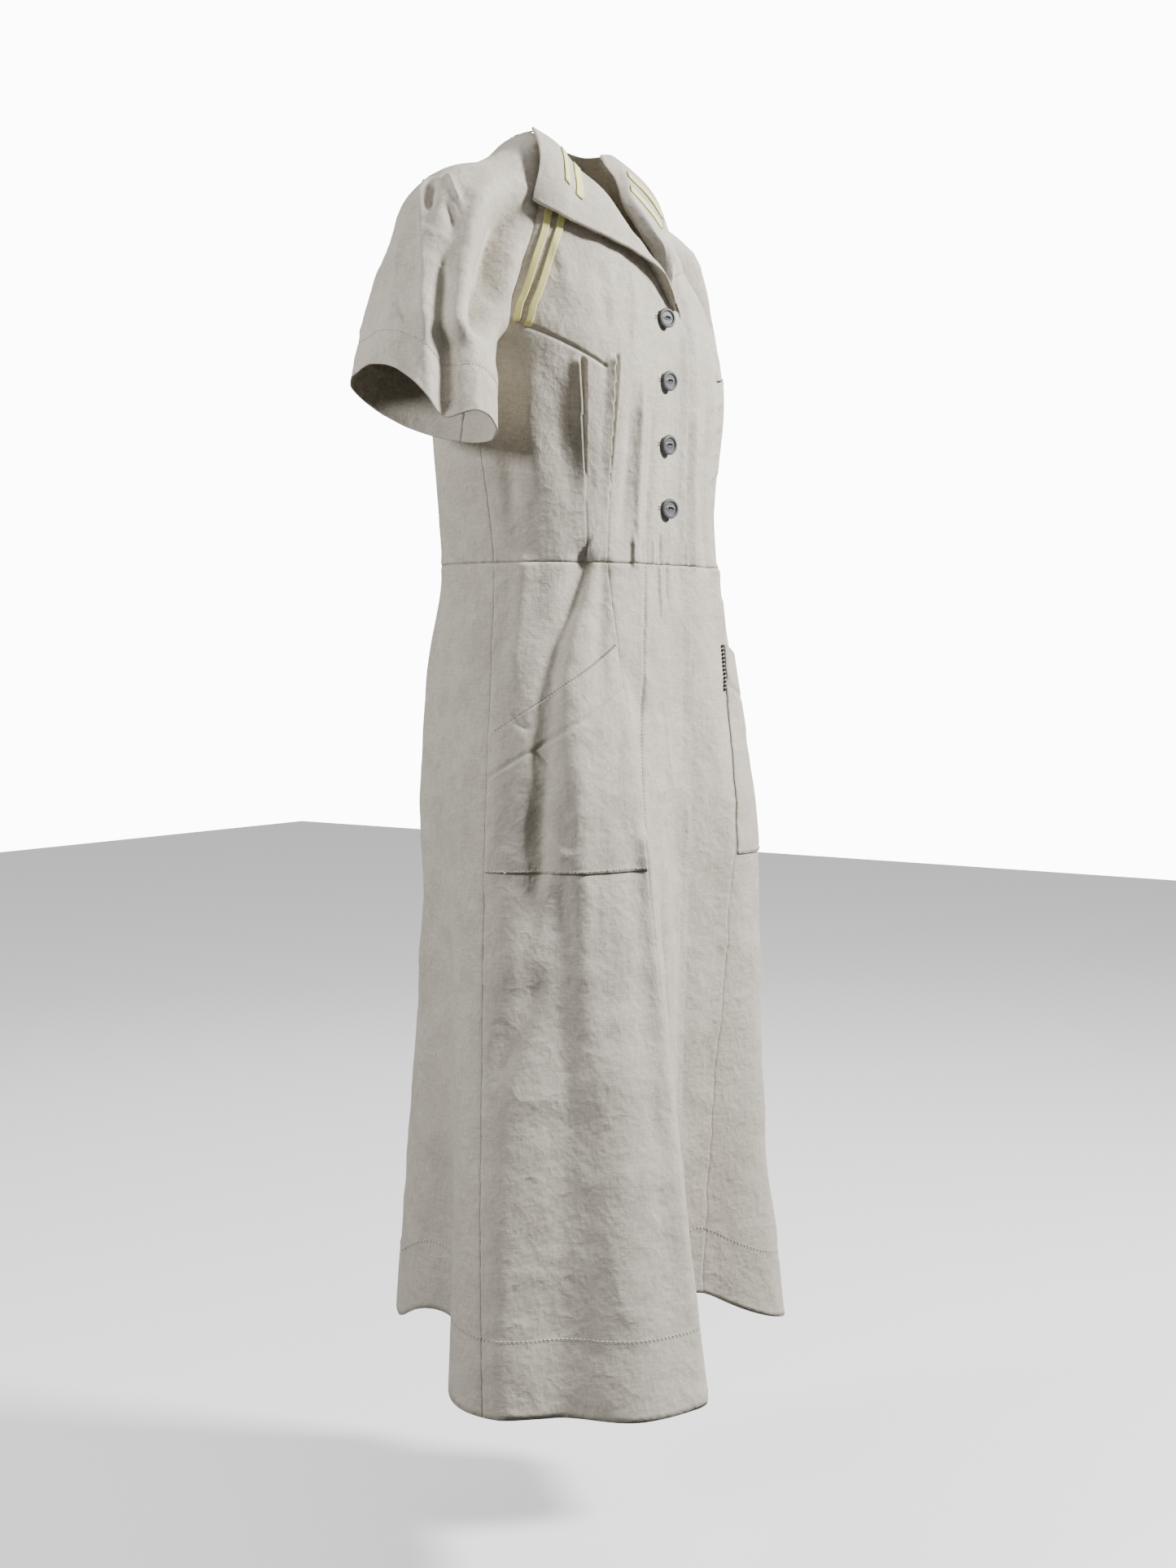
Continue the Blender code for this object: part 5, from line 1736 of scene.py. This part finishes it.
    def button(self, number: int) -> bpy.types.Object:
        """Build a turned button with a ringed rim and a sewn fisheye slot."""
        drop, x = BUTTON_PLACES[number]
        turned = np.linspace(0, 2 * np.pi, 73)[:-1]
        rim = [0.93, 0.96, 0.985, 1.0, 1.0, 0.985, 0.95, 0.88, 0.4]
        radii = np.concatenate([np.linspace(0.02, 0.9, 30), rim])
        faced = len(radii) - len(BUTTON_WALL)
        points = []
        for i, r in enumerate(radii):
            ring_x, ring_y = r * np.cos(turned), r * np.sin(turned)
            if i < faced:
                height = 0.66 + 0.34 * soft_step(r, 0.62, 0.74) - 0.16 * soft_step(r, 0.80, 0.84)
                height = height + 0.10 * bell(np.array(r), 0.88, 0.03)
                height = height - 0.30 * soft_step(r, 0.93, 1.0)
                slot = np.hypot(ring_x / BUTTON_SLOT[0] * 0.9, ring_y / BUTTON_SLOT[1] * 0.9)
                z = height + 0.12 * bell(slot, 1.35, 0.30) - 0.34 * (1 - soft_step(slot, 0.6, 1.2))
            else:
                z = np.full_like(ring_x, BUTTON_WALL[i - faced])
            ring = (BUTTON_RADIUS * ring_x, BUTTON_RADIUS * ring_y, BUTTON_HEIGHT * z)
            points.append(np.stack(ring, axis=-1))
        rows, count = len(radii), len(turned)
        faces = [tuple(range(count)), tuple(range((rows - 1) * count, rows * count))[::-1]]
        for r in range(rows - 1):
            for c in range(count):
                d = (c + 1) % count
                low, high = r * count, (r + 1) * count
                faces.append((low + d, low + c, high + c, high + d))
        seat, frame = self.frame_at(drop, x, BUTTON_STAND)
        placed = np.concatenate(points) @ frame + seat
        name = f"button_{number + 1}"
        piece = mesh_object(name + "_turned", placed, faces, self.finishes.button)
        finish_piece(piece, (name,))
        return piece

    def frame_at(self, drop: float, x: float, out: float) -> tuple[Array, Array]:
        """A seat on the right front, and its across, up and outward directions as rows."""
        angle = self.form.angle_at_x(x, np.array(drop))
        place = np.array(drop)
        outward = self.form.normal(angle, place)
        cos, sin = np.cos(BUTTON_TURN), np.sin(BUTTON_TURN)
        seat = self.form.point(angle, place, out)
        outward = np.array([[cos, sin, 0.0], [-sin, cos, 0.0], [0.0, 0.0, 1.0]]) @ outward
        across = unit(np.cross([0.0, 0.0, 1.0], outward))
        up = np.cross(outward, across)
        return seat, np.stack([across, up, outward])

    def button_thread(self) -> bpy.types.Object:
        """Build the thread across each button's slot."""
        run = StitchRun("button_threads", self.finishes.hole, 0.0032, 0.0001, 0.0008)
        for drop, x in BUTTON_PLACES:
            seat, frame = self.frame_at(drop, x, BUTTON_STAND)
            for lift in (0.00175, 0.0021):
                path = np.array([[-0.0017, 0, lift], [0.0017, 0, lift]]) @ frame + seat
                run.add(path, np.array([frame[2], frame[2]]))
        return run.make()

    def buttonholes(self) -> bpy.types.Object:
        """Build the worked end of each buttonhole, beside its button."""
        run = StitchRun("buttonholes", self.finishes.thread, 0.0016, 0.00001, 0.0005)
        for drop, x in BUTTON_PLACES:
            for step in np.arange(-0.0145, -0.0090, 0.0005):
                for low, high in ((0.0004, 0.0021), (-0.0021, -0.0004)):
                    places = np.array([drop - high, drop - low])
                    angle = self.form.angle_at_x(x + step, places)
                    run.add(self.form.point(angle, places, 0.0002), self.form.normal(angle, places))
        return run.make()


@dataclass
class Studio:
    """The floor, the soft lights and the camera at the photograph's angle."""

    angle: float = -55.0
    distance: float = 2.0
    height: float = -0.515
    ambience: float = 0.06
    backdrop: float = 12.0

    def area(self, light: Light) -> None:
        """Add a soft square light that faces the middle of the dress."""
        data = bpy.data.lights.new(light.name, "AREA")
        data.size = light.size
        data.energy = light.power
        lamp = bpy.data.objects.new(light.name, data)
        lamp.location = light.place
        lamp.rotation_euler = self.facing(np.array(MIDDLE) - np.array(light.place))
        bpy.context.scene.collection.objects.link(lamp)

    def facing(self, way: Array) -> tuple[float, float, float]:
        """The rotation that points an object's -Z along a direction."""
        flat = float(np.hypot(way[0], way[1]))
        return float(np.arctan2(flat, -way[2])), 0.0, float(np.arctan2(-way[0], way[1]))

    def make(self) -> None:
        """Build the floor, the lights and the camera."""
        floor = bpy.data.materials.new("pale_floor")
        floor.use_nodes = True
        shader = floor.node_tree.nodes["Principled BSDF"]
        shader.inputs["Base Color"].default_value = (0.86, 0.86, 0.86, 1.0)
        shader.inputs["Roughness"].default_value = 0.9
        shader.inputs["Emission Color"].default_value = (1.0, 1.0, 1.0, 1.0)
        shader.inputs["Emission Strength"].default_value = 0.6
        edge = 6.0
        corners = [(x * edge, y * edge, STAGE_Z) for x, y in ((-1, -1), (1, -1), (1, 1), (-1, 1))]
        ground = mesh_object("floor", np.array(corners), [(0, 1, 2, 3)], floor)
        ground.visible_diffuse = False
        world = bpy.data.worlds.new("studio")
        world.use_nodes = True
        tree = world.node_tree
        backdrop = tree.nodes["Background"]
        backdrop.inputs["Color"].default_value = (1.0, 1.0, 1.0, 1.0)
        seen = tree.nodes.new("ShaderNodeLightPath")
        level = tree.nodes.new("ShaderNodeMath")
        level.operation = "MULTIPLY_ADD"
        level.inputs[1].default_value = self.backdrop - self.ambience
        level.inputs[2].default_value = self.ambience
        tree.links.new(seen.outputs["Is Camera Ray"], level.inputs[0])
        tree.links.new(level.outputs[0], backdrop.inputs["Strength"])
        bpy.context.scene.world = world
        for light in LIGHTS:
            self.area(light)
        turned = np.radians(self.angle)
        data = bpy.data.cameras.new("camera")
        data.sensor_width = SENSOR
        data.lens = SENSOR * FOCAL / FRAME[1]
        data.shift_x = (FRAME[0] / 2 - CENTRE[0]) / FRAME[1]
        data.shift_y = (CENTRE[1] - FRAME[1] / 2) / FRAME[1]
        camera = bpy.data.objects.new("camera", data)
        sideways, ahead = self.distance * np.sin(turned), self.distance * np.cos(turned)
        camera.location = (sideways, -ahead, self.height)
        camera.rotation_euler = (np.pi / 2, 0.0, turned)
        bpy.context.scene.collection.objects.link(camera)
        bpy.context.scene.camera = camera


def main() -> None:
    """Build the dress round its frame."""
    logging.basicConfig(level=logging.INFO, format="%(message)s")
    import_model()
    form = BodyForm()
    finishes = Finishes.make()
    bodice = Bodice(form, finishes)
    skirt = Skirt(form, finishes)
    sleeves = Sleeves(form, finishes)
    collar = Collar(form, finishes)
    trim = Trim(form, skirt, finishes)
    bodice.back()
    skirt.back()
    collar.stand()
    for side in Side:
        bodice.front(side)
        skirt.centre_front(side)
        skirt.side_front(side)
        skirt.pocket(side)
        sleeves.make(side)
        collar.half(side)
        for number in range(2):
            collar.stripe(side, number)
            trim.stripe(side, number)
    trim.tape_stitches()
    trim.seam_stitches()
    trim.dark_lines()
    trim.gape()
    sleeves.hem_stitches()
    collar.end_stitches()
    trim.pale_stitches()
    trim.hem_shade()
    for number in range(len(BUTTON_PLACES)):
        trim.button(number)
    trim.button_thread()
    trim.buttonholes()
    Studio().make()


if __name__ == "__main__":
    main()
